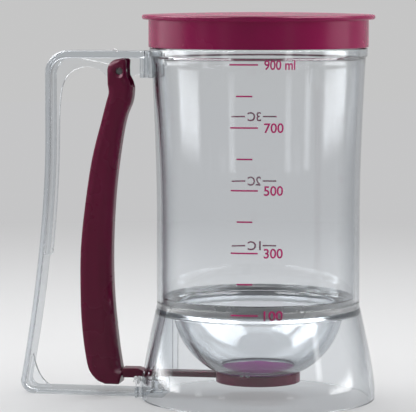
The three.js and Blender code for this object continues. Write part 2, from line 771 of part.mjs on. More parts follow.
// Least gap between parts of the wire that lie more than half a turn apart along it.
function leastGap(path) {
  const curve = new THREE.CurvePath();
  path.slice(1).forEach((point, i) => curve.add(new THREE.LineCurve3(path[i], point)));
  const count = 30 * path.length;
  const points = curve.getSpacedPoints(count);
  const skip = Math.ceil((Math.PI * coilRadius * count) / curve.getLength());
  let least = Infinity;
  points.forEach((point, i) => {
    for (let j = i + skip; j < points.length; j += 1) least = Math.min(least, point.distanceTo(points[j]));
  });
  return least - 2 * wireRadius;
}

// Return spring.
function returnSpring() {
  const path = springPath();
  console.log(`return spring: least gap to itself ${leastGap(path).toFixed(2)} mm`);
  return solidOf(wire(path, wireRadius, 5));
}

// Lid: flange with a low dome, outer skirt over the neck, inner ring inside it.
function lid() {
  const under = lidTop - flangeDepth;
  const skirtBottom = collarTop + seatGap;
  const inside = skirtRadius - lidWall;
  const plugOuter = neckRadius - neckWall - seatGap;
  return turned([
    [0, lidTop + lidDome],
    [flangeRadius / 3, lidTop + lidDome * 0.89],
    [(flangeRadius * 2) / 3, lidTop + lidDome * 0.56],
    [flangeRadius - lidRound, lidTop],
    [flangeRadius, lidTop - lidRound],
    [flangeRadius, under + lidRound / 2],
    [flangeRadius - lidRound / 2, under],
    [skirtRadius - lidSkirtTaper, under],
    [skirtRadius, skirtBottom],
    [inside, skirtBottom],
    [inside - lidSkirtTaper / 2, under],
    [plugOuter, under],
    [plugOuter, under - plugDepth + plugTaper],
    [plugOuter - plugTaper, under - plugDepth],
    [plugOuter - plugWall, under - plugDepth],
    [plugOuter - plugWall, under],
    [0, under],
  ]);
}

// The pieces, each in its own finish, moved together so that the footprint is centred.
const pieces = [
  ['measuring_tube', measuringTube, clear],
  ['funnel_base', funnelBase, clear],
  ['handle', handle, clear],
  ['pivot_pin', pivotPin, steel],
  ['return_spring', returnSpring, steel],
  ['trigger_lever', triggerLever, berry],
  ['valve_arm', valveArm, berry],
  ['valve_seal', valveSeal, silicone],
  ['lid', lid, berry],
];

const dispenser = new THREE.Group();
for (const [name, make, finish] of pieces) {
  const mesh = new THREE.Mesh(geometryOf(make()), new THREE.MeshStandardMaterial(finish));
  mesh.name = name;
  mesh.position.x = jugX;
  dispenser.add(mesh);
}

export default dispenser;
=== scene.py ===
"""Looks of the batter dispenser: clear styrene jug, plum plastic lid and trigger, printed scales.

Lengths are in millimetres. Reach is measured from the jug's axis towards the handle (-X), height
from the plane that the foot ring stands on.
"""
import math

import bmesh
import bpy
from mathutils import Matrix, Vector, noise


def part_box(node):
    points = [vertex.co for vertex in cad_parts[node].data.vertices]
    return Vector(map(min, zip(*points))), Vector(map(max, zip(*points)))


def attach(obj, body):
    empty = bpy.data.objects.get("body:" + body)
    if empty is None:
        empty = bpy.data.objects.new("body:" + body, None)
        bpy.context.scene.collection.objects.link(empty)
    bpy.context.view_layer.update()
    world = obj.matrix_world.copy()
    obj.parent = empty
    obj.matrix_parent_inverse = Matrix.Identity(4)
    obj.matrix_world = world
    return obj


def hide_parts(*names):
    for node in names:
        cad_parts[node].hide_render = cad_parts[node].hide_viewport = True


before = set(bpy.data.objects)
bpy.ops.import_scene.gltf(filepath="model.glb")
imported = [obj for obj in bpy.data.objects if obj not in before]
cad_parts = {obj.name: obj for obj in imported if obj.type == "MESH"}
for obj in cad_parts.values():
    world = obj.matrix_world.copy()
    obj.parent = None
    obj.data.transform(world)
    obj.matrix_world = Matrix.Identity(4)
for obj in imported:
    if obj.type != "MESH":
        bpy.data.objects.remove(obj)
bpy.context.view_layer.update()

MM = 0.001
lid_low, lid_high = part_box("lid")
JUG_X = (lid_low[0] + lid_high[0]) / 2 / MM
VIEW_YAW = math.radians(10)  # the camera stands this far round from straight in front of the handle
FRONT = VIEW_YAW - math.pi / 2  # direction of the camera from the jug's axis

# Clearances
SEAT_GAP = 0.3
PAST = 1.5  # how far a cut runs past the face it opens
WELD_GAP = 0.2  # between pieces that are welded

# Measuring tube
NECK_TOP = 180.6
SEAM = 46.8
TUBE_RADIUS = 48.5
TUBE_WALL = 2.5
TUBE_TOP_RADIUS = 51.0
TAPER_START = SEAM + 0.34 * (NECK_TOP - SEAM)
TAPER_POWER = 1.6
COLLAR_TOP = NECK_TOP - 12.8
COLLAR_HEIGHT = 4.6
COLLAR_STEP = 0.9
NECK_RADIUS = 50.4
NECK_WALL = 2.3
TONGUE_WIDTH = 1.2
TONGUE_DEPTH = 2.7
RIDGES = 54  # upright ridges round the tongue, melted into the groove
RIDGE_HEIGHT = 0.16

# Funnel base
WAIST = 45.3
BASE_RADIUS = 56
FOOT_BAND = 6
SKIRT_WALL = 2.3
SKIRT_LEAN = 0.16
BOWL_RADIUS = 33.3
BOWL_SHIFT = 4.7
BOWL_HEIGHT = 45.5
BOWL_WALL = 3.0
OUTLET_RADIUS = 18
LIP_BOTTOM = 13.2
LIP_RADIUS = 20.4
LIP_CHAMFER = 0.5
LEDGE_HEIGHT = 3
LEDGE_FALL = 1.2
LEDGE_EDGE = 41.5
SHOULDER_WALL = 5.2
SLOT_WIDTH = 19
SLOT_TOP = 13.4
SLOT_ROUND = 2.5
RIB_THICKNESS = 1.6
RIB_SPACING = 12
RIB_INNER = 40.5
RIB_BOTTOM = 9.6
RIB_ROUND = 2.6

# Handle and its boss
BOSS_WIDTH = 16
BOSS_FACE = 53.6
BOSS_TOP = COLLAR_TOP - 1.5
BOSS_HEIGHT = 13
KEY_WIDTH = 5
KEY_DEPTH = 1.5
KEY_SHOULDER = 2
HANDLE_WIDTH = 16
HANDLE_REACH = 115.3
GRIP_REACH = 102.5
FLARE_START = 0.757 * BOSS_TOP
FLARE_POWER = 1.75
TOP_BAR = 3.6
STRIP_WALL = 2.5
TOP_CORNER = 11
FOOT_CORNER = 6.5
END_PLATE = 2.2
WEB = 2.4
GRIP_RIB = 2.9
GRIP_RIB_END = 0.4 * BOSS_TOP
ARCH_DEPTH = 36.5
GUSSET_RISE = 16
GUSSET_RUN = 13
SADDLE_HEIGHT = 8
SADDLE_CHANNEL = 10
SADDLE_INNER = BASE_RADIUS - 11
SADDLE_OUTER = BASE_RADIUS + 2.2
FLANGE_WIDTH = 24
FLANGE_THICKNESS = 1.6
FLANGE_HEIGHT = 5
EAR_RADIUS = 4.8

# Trigger, pin and spring
PIVOT = (66.5, BOSS_TOP - 9.9)
PIN_RADIUS = 1.5
PIN_INSET = 1.2
TRIGGER_WIDTH = 13.4
TRIGGER_WALL = 2
TRIGGER_FOOT = 5.4
TRIGGER_DROP = PIVOT[1] - TRIGGER_FOOT
TRIGGER_BOW = 19.5
HEAD_RADIUS = 5.9
HEAD_FLAT = 3.4
FINGER_ROUND = 4.4  # along the edges towards the jug, where the fingers pull
FINGER_RUN = 6.4  # the rounding there runs this far in from the edge
GRIP_ROUND = 1.3  # along the edges towards the grip
CROSS_RIBS = 5
CROSS_RIB = 1.5
WIRE_RADIUS = 0.3
SPRING_TURNS = 2.25
COIL_RADIUS = 2.3
FIXED_LEG = 18.5
MOVING_LEG = 8

# Valve
PLATE_RADIUS = 20.2
PLATE_BOTTOM = 7.8
PLATE_TOP = 11.6
PLATE_RIM = 2.2
PLATE_FLOOR = 1.8
PLATE_LIP_DROP = 0.6
ARM_BOTTOM = 9.4
ARM_THICKNESS = 2.6
ARM_WIDTH = 8
ARM_ROOT_REACH = 55.5
ARM_ROOT = 3.6
ARM_TONGUE = 6.5
BARB_RISE = 0.8
BARB_LENGTH = 1.8
SEAL_RADIUS = 18.6
DOME_RADIUS = 16.6
DOME_RISE = 3.1
STUD_RADIUS = 3
STUD_HEAD = 1.2

# Lid
LID_TOP = NECK_TOP + 2.9
LID_DOME = 1.1
LID_FLANGE = 55.4
LID_FLANGE_DEPTH = 2.2
LID_SKIRT = 52.3
LID_WALL = 1.6
PLUG_DEPTH = 5.5
PLUG_WALL = 1.4

# Printed scales, on the outside of the tube
HUNDRED_HEIGHT = 45.55  # height of the 100 ml mark
MARK_STEP = 14.47  # from one hundred millilitres to the next
LONG_MARK = (-13.7, -1.1)  # across the tube, from the middle of the print
SHORT_MARK = (-10.9, -3.6)
MARK_THICKNESS = 0.72
NUMERAL_HEIGHT = 4.4
NUMERAL_LEFT = 1.6
NUMERAL_WIDTH = 8.9
TOP_NUMERAL_WIDTH = 13.8
CUP_HEIGHTS = (68.4, 100.6, 132.5)
CUP_MARKS = ((5.7, 12.8), (-10.2, -3.2))
CUP_NUMERAL = (-2.3, 6.8)  # left edge and width
PRINT_GAP = 0.03
PRINT_THICKNESS = 0.06

# Outlines as shares of the sizes that they follow
ARCH_SHARES = [(0.224, 0.241), (0.29, 0.184), (0.37, 0.142), (0.5, 0.12), (0.63, 0.145),
               (0.749, 0.205), (0.836, 0.31), (0.88, 0.468), (0.905, 0.72), (0.913, 1)]
OUTER_SHARES = [(0.044, 0.29), (0.069, 0.27), (0.1, 0.333), (0.155, 0.446), (0.282, 0.697), (0.436, 0.882),
                (0.577, 0.99), (0.731, 0.995), (0.821, 0.959), (0.899, 0.887), (0.956, 0.79), (0.988, 0.6),
                (1, 0.395)]
INNER_SHARES = [(1, 0.03), (0.968, -0.03), (0.94, 0.005), (0.87, 0.085), (0.737, 0.19), (0.61, 0.226),
                (0.48, 0.2), (0.352, 0.125), (0.223, -0.01), (0.149, -0.125), (0.1, -0.27), (0.065, -0.312),
                (0.035, -0.3), (0.008, -0.19)]

# Weld beads at the handle's foot: reach, side, height and size
WELD_PROUD = 1.1
WELD_BEADS = [(57.8, -1, 6.2, 3.0), (56.6, -1, 3.2, 3.1), (54.2, -1, 7.8, 2.4), (52.0, -1, 4.6, 2.8),
              (49.4, -1, 6.4, 2.2), (47.0, -1, 3.4, 2.4), (57.0, -1, 8.4, 1.9), (45.4, -1, 5.6, 1.7),
              (57.4, 1, 5.4, 2.2), (56.0, 1, 2.6, 2.4), (52.6, 1, 4.8, 2.0), (48.6, 1, 3.4, 1.8)]

# Curl of flash on the near edge of the handle's top bar: reach, rise over the bar and share of the edge
FLASH = [(72.6, 0.12, 0.99), (71.0, 0.3, 0.97), (69.9, 0.1, 0.99), (69.1, 0.55, 0.96), (68.2, 0.75, 0.93),
         (67.6, 0.35, 0.97), (67.9, -0.2, 1.0), (67.2, -0.5, 1.01), (66.6, -0.1, 1.0)]
FLASH_RADIUS = 0.2

# Studio, in metres
PALE = 0.56  # the floor's and the backdrop's tone
CEILING = 0.62
SKY = 0.36
WINDOWS = [  # heading from the camera in degrees, half width, lowest and highest sine of elevation, light
    (-107, 21, -0.02, 0.045, 4.6), (-78, 46, 0.34, 0.8, 13.0),
    (91, 16, -0.02, 0.045, 4.6), (67, 38, 0.34, 0.92, 13.0),
    (180, 60, 0.62, 0.9, 2.0), (0, 40, 0.72, 0.95, 2.4),
    (-62, 2, -0.06, 0.06, 2.2), (-37, 2, -0.06, 0.06, 1.6), (31, 2, -0.06, 0.06, 1.6),
    (64, 1, 0.12, 0.3, 2.8),
]
FLOOR_RADIUS = 3.0
CAMERA_DISTANCE = 1.25
CAMERA_LEFT = 0.024
CAMERA_HEIGHT = 0.2016
CAMERA_DOWN = math.radians(5)
CAMERA_LENS = 227.2


# Outlines

def levels(start, end, count):
    return [start + (end - start) * i / count for i in range(count + 1)]


def arc(centre, radius, start, end, steps=12):
    angles = [math.radians(a) for a in levels(start, end, steps)]
    return [(centre[0] + radius * math.cos(a), centre[1] + radius * math.sin(a)) for a in angles]


def fillet(points, steps=4, closed=True):
    """Rounds the corners of an outline; a corner is (x, y) or (x, y, radius)."""
    result = []
    count = len(points)
    for i, point in enumerate(points):
        radius = point[2] if len(point) > 2 else 0
        here = Vector(point[:2])
        a = Vector(points[i - 1][:2]) - here
        b = Vector(points[(i + 1) % count][:2]) - here
        ends = not closed and i in (0, count - 1)
        if radius <= 0 or ends or a.length < 1e-5 or b.length < 1e-5 or a.angle(b) > math.radians(172):
            result.append((here.x, here.y))
            continue
        half = a.angle(b) / 2
        reach = min(radius / math.tan(half), 0.48 * a.length, 0.48 * b.length)
        centre = here + (a.normalized() + b.normalized()).normalized() * (reach / math.cos(half))
        first = here + a.normalized() * reach - centre
        last = here + b.normalized() * reach - centre
        turn = first.angle_signed(last)
        for k in range(steps + 1):
            spoke = first.copy()
            spoke.rotate(Matrix.Rotation(-turn * k / steps, 2))
            result.append((centre.x + spoke.x, centre.y + spoke.y))
    return result


def smooth(points, steps=80):
    """Points on a Catmull-Rom curve through the given ones."""
    padded = [points[0], *points, points[-1]]
    spans = len(points) - 1
    result = []
    for k in range(steps + 1):
        place = min(k / steps * spans, spans - 1e-9)
        i = int(place)
        t = place - i
        p0, p1, p2, p3 = (Vector(p) for p in padded[i:i + 4])
        q = 0.5 * (2 * p1 + (p2 - p0) * t + (2 * p0 - 5 * p1 + 4 * p2 - p3) * t * t
                   + (3 * p1 - p0 - 3 * p2 + p3) * t ** 3)
        result.append((q.x, q.y))
    return result


def tube_outside(height):
    along = max(0.0, (height - TAPER_START) / (COLLAR_TOP - COLLAR_HEIGHT - TAPER_START))
    return TUBE_RADIUS + (TUBE_TOP_RADIUS - TUBE_RADIUS) * along ** TAPER_POWER


def skirt_outside(height):
    down = min(1.0, max(0.0, (WAIST - height) / (WAIST - FOOT_BAND)))
    return TUBE_RADIUS + (BASE_RADIUS - TUBE_RADIUS) * ((1 + SKIRT_LEAN) * down - SKIRT_LEAN * down ** 4)


def grip_outside(height):
    down = max(0.0, (FLARE_START - height) / (FLARE_START - FOOT_CORNER))
    return GRIP_REACH + (HANDLE_REACH - GRIP_REACH) * down ** FLARE_POWER


# Mesh helpers

def as_object(bm, name):
    bmesh.ops.remove_doubles(bm, verts=bm.verts, dist=1e-7)
    bmesh.ops.recalc_face_normals(bm, faces=bm.faces)
    mesh = bpy.data.meshes.new(name)
    bm.to_mesh(mesh)
    bm.free()
    piece = bpy.data.objects.new(name, mesh)
    bpy.context.scene.collection.objects.link(piece)
    return piece


def revolve(name, loop, sides=192, ripple=None):
    """A closed loop of (radius, height) turned about the jug's axis."""
    bm = bmesh.new()
    rings = []
    for radius, height in loop:
        if abs(radius) < 1e-6:
            rings.append([bm.verts.new((JUG_X * MM, 0, height * MM))])
            continue
        ring = []
        for k in range(sides):
            angle = 2 * math.pi * k / sides
            r = radius + (ripple(radius, height, angle) if ripple else 0)
            ring.append(bm.verts.new(((JUG_X + r * math.cos(angle)) * MM, r * math.sin(angle) * MM, height * MM)))
        rings.append(ring)
    for i, ring in enumerate(rings):
        following = rings[(i + 1) % len(rings)]
        if len(ring) == 1 and len(following) == 1:
            continue
        for k in range(sides):
            n = (k + 1) % sides
            corners = [ring[k % len(ring)], ring[n % len(ring)], following[n % len(following)],
                       following[k % len(following)]]
            bm.faces.new(list(dict.fromkeys(corners)))
    return as_object(bm, name)


def plate(name, outline, width, round_mm=0.0, steps=3, middle=0.0):
    """An outline of (reach, height) with a width in Y, its long edges rounded."""
    bm = bmesh.new()
    low = [bm.verts.new(((JUG_X - r) * MM, (middle - width / 2) * MM, z * MM)) for r, z in outline]
    high = [bm.verts.new(((JUG_X - r) * MM, (middle + width / 2) * MM, z * MM)) for r, z in outline]
    caps = [bm.faces.new(low), bm.faces.new(high)]
    for i in range(len(outline)):
        n = (i + 1) % len(outline)
        bm.faces.new((low[i], low[n], high[n], high[i]))
    bmesh.ops.recalc_face_normals(bm, faces=bm.faces)
    if round_mm:
        rim = [e for cap in caps for e in cap.edges]
        bmesh.ops.bevel(bm, geom=rim, offset=round_mm * MM, offset_type="OFFSET", segments=steps,
                        profile=0.5, affect="EDGES", clamp_overlap=True)
    return as_object(bm, name)


def room_at(points, i, inward):
    """Radius of the largest circle inside an outline that touches it at one of its points."""
    here = points[i]
    room = 1e9
    for j, other in enumerate(points):
        across = other - here
        depth = across.dot(inward)
        if j != i and depth > 1e-6:
            room = min(room, across.length_squared / (2 * depth))
    return room


def swollen(name, rim, width, steps=8):
    """A plate whose sides swell. The rim is a closed list of (reach, height, run, drop): at that point
    the side starts the drop inside the full width and curves out to it over the run."""
    points = [Vector(p[:2]) for p in rim]
    count = len(points)
    area = sum(points[i - 1].cross(points[i]) for i in range(count))
    turn = 1 if area > 0 else -1
    inwards = []
    for i in range(count):
        along = (points[(i + 1) % count] - points[i - 1]).normalized()
        inwards.append(Vector((-along.y, along.x)) * turn)
    limits = [0.9 * room_at(points, i, inwards[i]) for i in range(count)]
    runs = [min(p[2], limit) for p, limit in zip(rim, limits)]
    drops = [p[3] for p in rim]
    for _ in range(12):
        runs = [min((runs[i - 1] + 2 * runs[i] + runs[(i + 1) % count]) / 4, limits[i]) for i in range(count)]
        drops = [(drops[i - 1] + 2 * drops[i] + drops[(i + 1) % count]) / 4 for i in range(count)]
    bm = bmesh.new()
    edges = []
    for side in (-1, 1):
        rings = []
        for step in range(steps + 1):
            angle = math.pi / 2 * step / steps
            ring = []
            for i in range(count):
                spot = points[i] + inwards[i] * runs[i] * (1 - math.cos(angle))
                y = side * (width / 2 - min(drops[i], runs[i]) * (1 - math.sin(angle)))
                ring.append(bm.verts.new(Vector((JUG_X - spot.x, y, spot.y)) * MM))
            rings.append(ring)
        for low, high in zip(rings, rings[1:]):
            for i in range(count):
                n = (i + 1) % count
                bm.faces.new((low[i], low[n], high[n], high[i]))
        bm.faces.new(rings[-1])
        edges.append(rings[0])
    for i in range(count):
        n = (i + 1) % count
        bm.faces.new((edges[0][i], edges[0][n], edges[1][n], edges[1][i]))
    return as_object(bm, name)


def dimple(name, reach, height, y, radius, depth):
    """A ball that cuts a shallow dish of this radius and depth into a face that looks along Y."""
    ball = (radius ** 2 + depth ** 2) / (2 * depth)
    bm = bmesh.new()
    bmesh.ops.create_uvsphere(bm, u_segments=64, v_segments=40, radius=ball * MM)
    middle = y + math.copysign(ball - depth, y)
    bm.transform(Matrix.Translation(Vector((JUG_X - reach, middle, height)) * MM))
    return as_object(bm, name)


def block(name, reach, heights, widths, round_mm=0.0, steps=3):
    """A rounded box from two reaches, two heights and two Y values."""
    (r0, r1), (z0, z1), (y0, y1) = sorted(reach), heights, widths
    bm = bmesh.new()
    bmesh.ops.create_cube(bm, size=1)
    for v in bm.verts:
        v.co = Vector((JUG_X - (r0 if v.co.x > 0 else r1), y1 if v.co.y > 0 else y0,
                       z1 if v.co.z > 0 else z0)) * MM
    if round_mm:
        bmesh.ops.bevel(bm, geom=bm.edges[:], offset=round_mm * MM, offset_type="OFFSET", segments=steps,
                        profile=0.5, affect="EDGES", clamp_overlap=True)
    return as_object(bm, name)


def bar(name, centre, radius, length, axis="Y", sides=48, round_mm=0.0):
    """A round bar about (reach, y, height) with rounded ends."""
    bm = bmesh.new()
    bmesh.ops.create_cone(bm, cap_ends=True, segments=sides, radius1=radius * MM, radius2=radius * MM,
                          depth=length * MM)
    if round_mm:
        rims = [e for e in bm.edges if all(abs(abs(v.co.z) - length / 2 * MM) < 1e-7 for v in e.verts)]
        bmesh.ops.bevel(bm, geom=rims, offset=round_mm * MM, offset_type="OFFSET", segments=3,
                        profile=0.5, affect="EDGES", clamp_overlap=True)
    turn = {"X": Matrix.Rotation(math.pi / 2, 4, "Y"), "Y": Matrix.Rotation(math.pi / 2, 4, "X"),
            "Z": Matrix.Identity(4)}[axis]
    reach, y, height = centre
    bm.transform(Matrix.Translation(Vector((JUG_X - reach, y, height)) * MM) @ turn)
    return as_object(bm, name)


def combine(target, tools, operation):
    """Boolean with the exact solver, baked into the target's mesh; the tools are deleted."""
    for tool in tools:
        modifier = target.modifiers.new("combine", "BOOLEAN")
        modifier.operation = operation
        modifier.solver = "EXACT"
        modifier.object = tool
    graph = bpy.context.evaluated_depsgraph_get()
    mesh = bpy.data.meshes.new_from_object(target.evaluated_get(graph))
    target.modifiers.clear()
    target.data = mesh
    mesh.name = target.name
    for tool in tools:
        bpy.data.objects.remove(tool, do_unlink=True)
    return target


def as_mesh(curve, name):
    """A curve or text as a mesh object."""
    holder = bpy.data.objects.new(name + "_curve", curve)
    bpy.context.scene.collection.objects.link(holder)
    graph = bpy.context.evaluated_depsgraph_get()
    mesh = bpy.data.meshes.new_from_object(holder.evaluated_get(graph))
    bpy.data.objects.remove(holder, do_unlink=True)
    piece = bpy.data.objects.new(name, mesh)
    bpy.context.scene.collection.objects.link(piece)
    return piece


def wire(name, points, radius):
    """A round wire along points of (reach, y, height)."""
    curve = bpy.data.curves.new(name, "CURVE")
    curve.dimensions = "3D"
    curve.bevel_depth = radius * MM
    curve.bevel_resolution = 3
    curve.use_fill_caps = True
    spline = curve.splines.new("POLY")
    spline.points.add(len(points) - 1)
    for target, p in zip(spline.points, points):
        target.co = ((JUG_X - p.x) * MM, p.y * MM, p.z * MM, 1)
    return as_mesh(curve, name)


def join_pieces(name, pieces):
    bm = bmesh.new()
    for piece in pieces:
        bm.from_mesh(piece.data)
        bpy.data.objects.remove(piece, do_unlink=True)
    return as_object(bm, name)


def union(target, *tools):
    return combine(target, tools, "UNION")


def cut(target, *tools):
    return combine(target, tools, "DIFFERENCE")


def frost(piece, where):
    """Gives the frosted finish to the faces whose (radius, height) passes a test."""
    piece.data.materials.append(MELTED)
    for face in piece.data.polygons:
        x, y, z = face.center / MM
        if where(math.hypot(x - JUG_X, y), z):
            face.material_index = 1


def settle(piece, material, body, *nodes, crease=32):
    """Cleans and smooths a piece, gives it its material, and says what it rides on and replaces."""
    bm = bmesh.new()
    bm.from_mesh(piece.data)
    bmesh.ops.remove_doubles(bm, verts=bm.verts, dist=2e-6)
    bmesh.ops.dissolve_degenerate(bm, edges=bm.edges, dist=2e-6)
    for face in bm.faces:
        face.smooth = True
    limit = math.radians(crease)
    for edge in bm.edges:
        edge.smooth = edge.calc_face_angle(0) < limit
    bm.to_mesh(piece.data)
    bm.free()
    weighted = piece.modifiers.new("weighted", "WEIGHTED_NORMAL")
    weighted.keep_sharp = True
    piece.data.materials.clear()
    piece.data.materials.append(material)
    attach(piece, body)
    if nodes:
        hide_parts(*nodes)
    return piece


# Materials

def rgb(red, green, blue):
    """A colour written as on a screen, 0 to 255, for a shader."""
    def linear(v):
        v /= 255
        return v / 12.92 if v <= 0.04045 else ((v + 0.055) / 1.055) ** 2.4
    return (linear(red), linear(green), linear(blue), 1)


class Nodes:
    """Short names for building a node tree."""

    def __init__(self, name, world=False):
        self.material = (bpy.data.worlds if world else bpy.data.materials).new(name)
        self.material.use_nodes = True
        self.tree = self.material.node_tree
        self.tree.nodes.clear()
        self.output = self.add("ShaderNodeOutputWorld" if world else "ShaderNodeOutputMaterial")
        self.place = self.add("ShaderNodeTexCoord").outputs["Generated" if world else "Object"]

    def add(self, kind, **values):
        node = self.tree.nodes.new(kind)
        for key, value in values.items():
            setattr(node, key, value)
        return node

    def link(self, source, target):
        self.tree.links.new(source, target)

    def noise(self, scale, detail=2.0, rough=0.5, stretch=(1, 1, 1)):
        mapping = self.add("ShaderNodeMapping")
        mapping.inputs["Scale"].default_value = stretch
        self.link(self.place, mapping.inputs["Vector"])
        node = self.add("ShaderNodeTexNoise")
        node.inputs["Scale"].default_value = scale
        node.inputs["Detail"].default_value = detail
        node.inputs["Roughness"].default_value = rough
        self.link(mapping.outputs["Vector"], node.inputs["Vector"])
        return node.outputs["Fac"]

    def math(self, operation, a, b):
        node = self.add("ShaderNodeMath", operation=operation)
        for socket, value in zip(node.inputs, (a, b)):
            if isinstance(value, (int, float)):
                socket.default_value = value
            else:
                self.link(value, socket)
        return node.outputs[0]

    def step(self, source, start, end):
        """Rises smoothly from 0 at the start to 1 at the end."""
        node = self.add("ShaderNodeMapRange", interpolation_type="SMOOTHSTEP")
        self.link(source, node.inputs["Value"])
        node.inputs["From Min"].default_value = start
        node.inputs["From Max"].default_value = end
        return node.outputs["Result"]

    def seen(self):
        """1 on rays that the camera, a gloss or clear plastic sends, 0 on those that light things,
        also where these pass through clear plastic on their way."""
        path = self.add("ShaderNodeLightPath")
        either = self.math("MAXIMUM", path.outputs["Is Camera Ray"], path.outputs["Is Glossy Ray"])
        sent = self.math("MAXIMUM", either, path.outputs["Is Transmission Ray"])
        return self.math("MULTIPLY", sent, self.math("LESS_THAN", path.outputs["Diffuse Depth"], 0.5))

    def ramp(self, source, stops):
        node = self.add("ShaderNodeValToRGB")
        while len(node.color_ramp.elements) < len(stops):
            node.color_ramp.elements.new(0.5)
        for element, (place, colour) in zip(node.color_ramp.elements, stops):
            element.position = place
            element.color = colour if isinstance(colour, tuple) else (colour, colour, colour, 1)
        self.link(source, node.inputs["Fac"])
        return node.outputs["Color"]

    def bump(self, source, strength, distance_mm, under=None):
        node = self.add("ShaderNodeBump")
        node.inputs["Strength"].default_value = strength
        node.inputs["Distance"].default_value = distance_mm * MM
        self.link(source, node.inputs["Height"])
        if under is not None:
            self.link(under, node.inputs["Normal"])
        return node.outputs["Normal"]

    def principled(self, **values):
        node = self.add("ShaderNodeBsdfPrincipled")
        for key, value in values.items():
            node.inputs[key.replace("_", " ")].default_value = value
        return node


def clear_plastic(name, rough_low, rough_high, waves, milk=0.0):
    """Clear styrene: faint flow waves and smears, with painted shade that greys it where it is seen edge on. Light
    passes it to the pieces behind. Milk is the share of white haze in plastic that has melted or been ground."""
    n = Nodes(name)
    shader = n.principled(IOR=1.5)
    shader.inputs["Transmission Weight"].default_value = 1 - milk
    # Painted shade: the base colour turns grey where a surface is seen edge on, for dark outlines
    painted_edge_shade = n.add("ShaderNodeLayerWeight")
    painted_edge_shade.inputs["Blend"].default_value = 0.5
    if milk:
        shader.inputs["Base Color"].default_value = (0.95, 0.95, 0.95, 1)
    else:
        n.link(n.ramp(painted_edge_shade.outputs["Facing"], [(0.42, rgb(251, 252, 253)), (0.96, rgb(150, 158, 165))]),
               shader.inputs["Base Color"])
    smears = n.noise(60, 4, 0.6, (1, 1, 0.4))
    n.link(n.ramp(smears, [(0.35, rough_low), (0.75, rough_high)]), shader.inputs["Roughness"])
    flow = n.noise(26, 2, 0.5, (1, 1, 0.35))
    fine = n.noise(900, 2, 0.6)
    n.link(n.bump(fine, 0.02, 0.03, n.bump(flow, waves, 0.5)), shader.inputs["Normal"])
    lets_light = n.add("ShaderNodeBsdfTransparent")
    lets_light.inputs["Color"].default_value = (0.88, 0.89, 0.9, 1)
    path = n.add("ShaderNodeLightPath")
    mix = n.add("ShaderNodeMixShader")
    n.link(path.outputs["Is Shadow Ray"], mix.inputs["Fac"])
    n.link(shader.outputs["BSDF"], mix.inputs[1])
    n.link(lets_light.outputs["BSDF"], mix.inputs[2])
    n.link(mix.outputs["Shader"], n.output.inputs["Surface"])
    inside = n.add("ShaderNodeVolumeAbsorption")
    inside.inputs["Color"].default_value = (0.52, 0.58, 0.63, 1)
    inside.inputs["Density"].default_value = 46
    n.link(inside.outputs["Volume"], n.output.inputs["Volume"])
    return n.material


def plum_plastic(name, deep, lit, rough, grain):
    """Opaque moulded plastic with faint flow marks, fine grain and rubbed places."""
    n = Nodes(name)
    shader = n.principled(IOR=1.46)
    shader.inputs["Specular IOR Level"].default_value = 0.28
    clouds = n.noise(24, 3, 0.55, (1, 1, 0.5))
    n.link(n.ramp(clouds, [(0.3, deep), (0.7, lit)]), shader.inputs["Base Color"])
    rubbed = n.noise(40, 3, 0.5)
    n.link(n.ramp(rubbed, [(0.3, rough), (0.8, rough + 0.05)]), shader.inputs["Roughness"])
    waves = n.noise(14, 1, 0.4)
    fine = n.noise(1600, 2, 0.6)
    n.link(n.bump(fine, grain, 0.05, n.bump(waves, 0.012, 0.4)), shader.inputs["Normal"])
    n.link(shader.outputs["BSDF"], n.output.inputs["Surface"])
    return n.material


def soft_silicone():
    n = Nodes("soft_silicone")
    shader = n.principled(IOR=1.43)
    shader.inputs["Specular IOR Level"].default_value = 0.25
    shader.inputs["Subsurface Weight"].default_value = 0.12
    shader.inputs["Subsurface Radius"].default_value = (0.003, 0.0006, 0.0022)
    shader.inputs["Subsurface Scale"].default_value = 1
    clouds = n.noise(140, 3, 0.6)
    n.link(n.ramp(clouds, [(0.3, rgb(138, 0, 126)), (0.75, rgb(158, 1, 144))]), shader.inputs["Base Color"])
    n.link(n.ramp(clouds, [(0.2, 0.36), (0.8, 0.52)]), shader.inputs["Roughness"])
    n.link(n.bump(n.noise(1200, 2, 0.5), 0.12, 0.05), shader.inputs["Normal"])
    n.link(shader.outputs["BSDF"], n.output.inputs["Surface"])
    return n.material


def scale_ink():
    n = Nodes("scale_ink")
    shader = n.principled(IOR=1.48)
    thin = n.noise(1500, 3, 0.7)
    n.link(n.ramp(thin, [(0.25, rgb(168, 16, 92)), (0.7, rgb(190, 32, 112))]), shader.inputs["Base Color"])
    n.link(n.ramp(thin, [(0.2, 0.36), (0.8, 0.54)]), shader.inputs["Roughness"])
    n.link(n.bump(thin, 0.2, 0.02), shader.inputs["Normal"])
    n.link(shader.outputs["BSDF"], n.output.inputs["Surface"])
    return n.material


def drawn_steel(name, tone):
    n = Nodes(name)
    shader = n.principled(Base_Color=(tone, tone, tone, 1), Metallic=1)
    lines = n.noise(900, 3, 0.6, (0.15, 1, 1))
    n.link(n.ramp(lines, [(0.25, 0.2), (0.8, 0.38)]), shader.inputs["Roughness"])
    n.link(n.bump(lines, 0.12, 0.02), shader.inputs["Normal"])
    n.link(shader.outputs["BSDF"], n.output.inputs["Surface"])
    return n.material


CLEAR = clear_plastic("clear_plastic", 0.01, 0.05, 0.12)
MELTED = clear_plastic("melted_plastic", 0.25, 0.5, 0.5, 0.45)
CRUMPLED = clear_plastic("crumpled_plastic", 0.22, 0.5, 1.0, 0.88)
LID_PLASTIC = plum_plastic("lid_plastic", rgb(120, 0, 60), rgb(134, 1, 70), 0.24, 0.02)
TRIGGER_PLASTIC = plum_plastic("trigger_plastic", rgb(84, 0, 38), rgb(98, 0, 48), 0.25, 0.04)
SILICONE = soft_silicone()
INK = scale_ink()
# The pivot pin's steel is toned down to near black: painted shade for the pin sitting deep in its dished bore
DARK_STEEL = drawn_steel("steel_painted_dark", 0.1)
SPRING_STEEL = drawn_steel("spring_steel", 0.75)


# Clear pieces

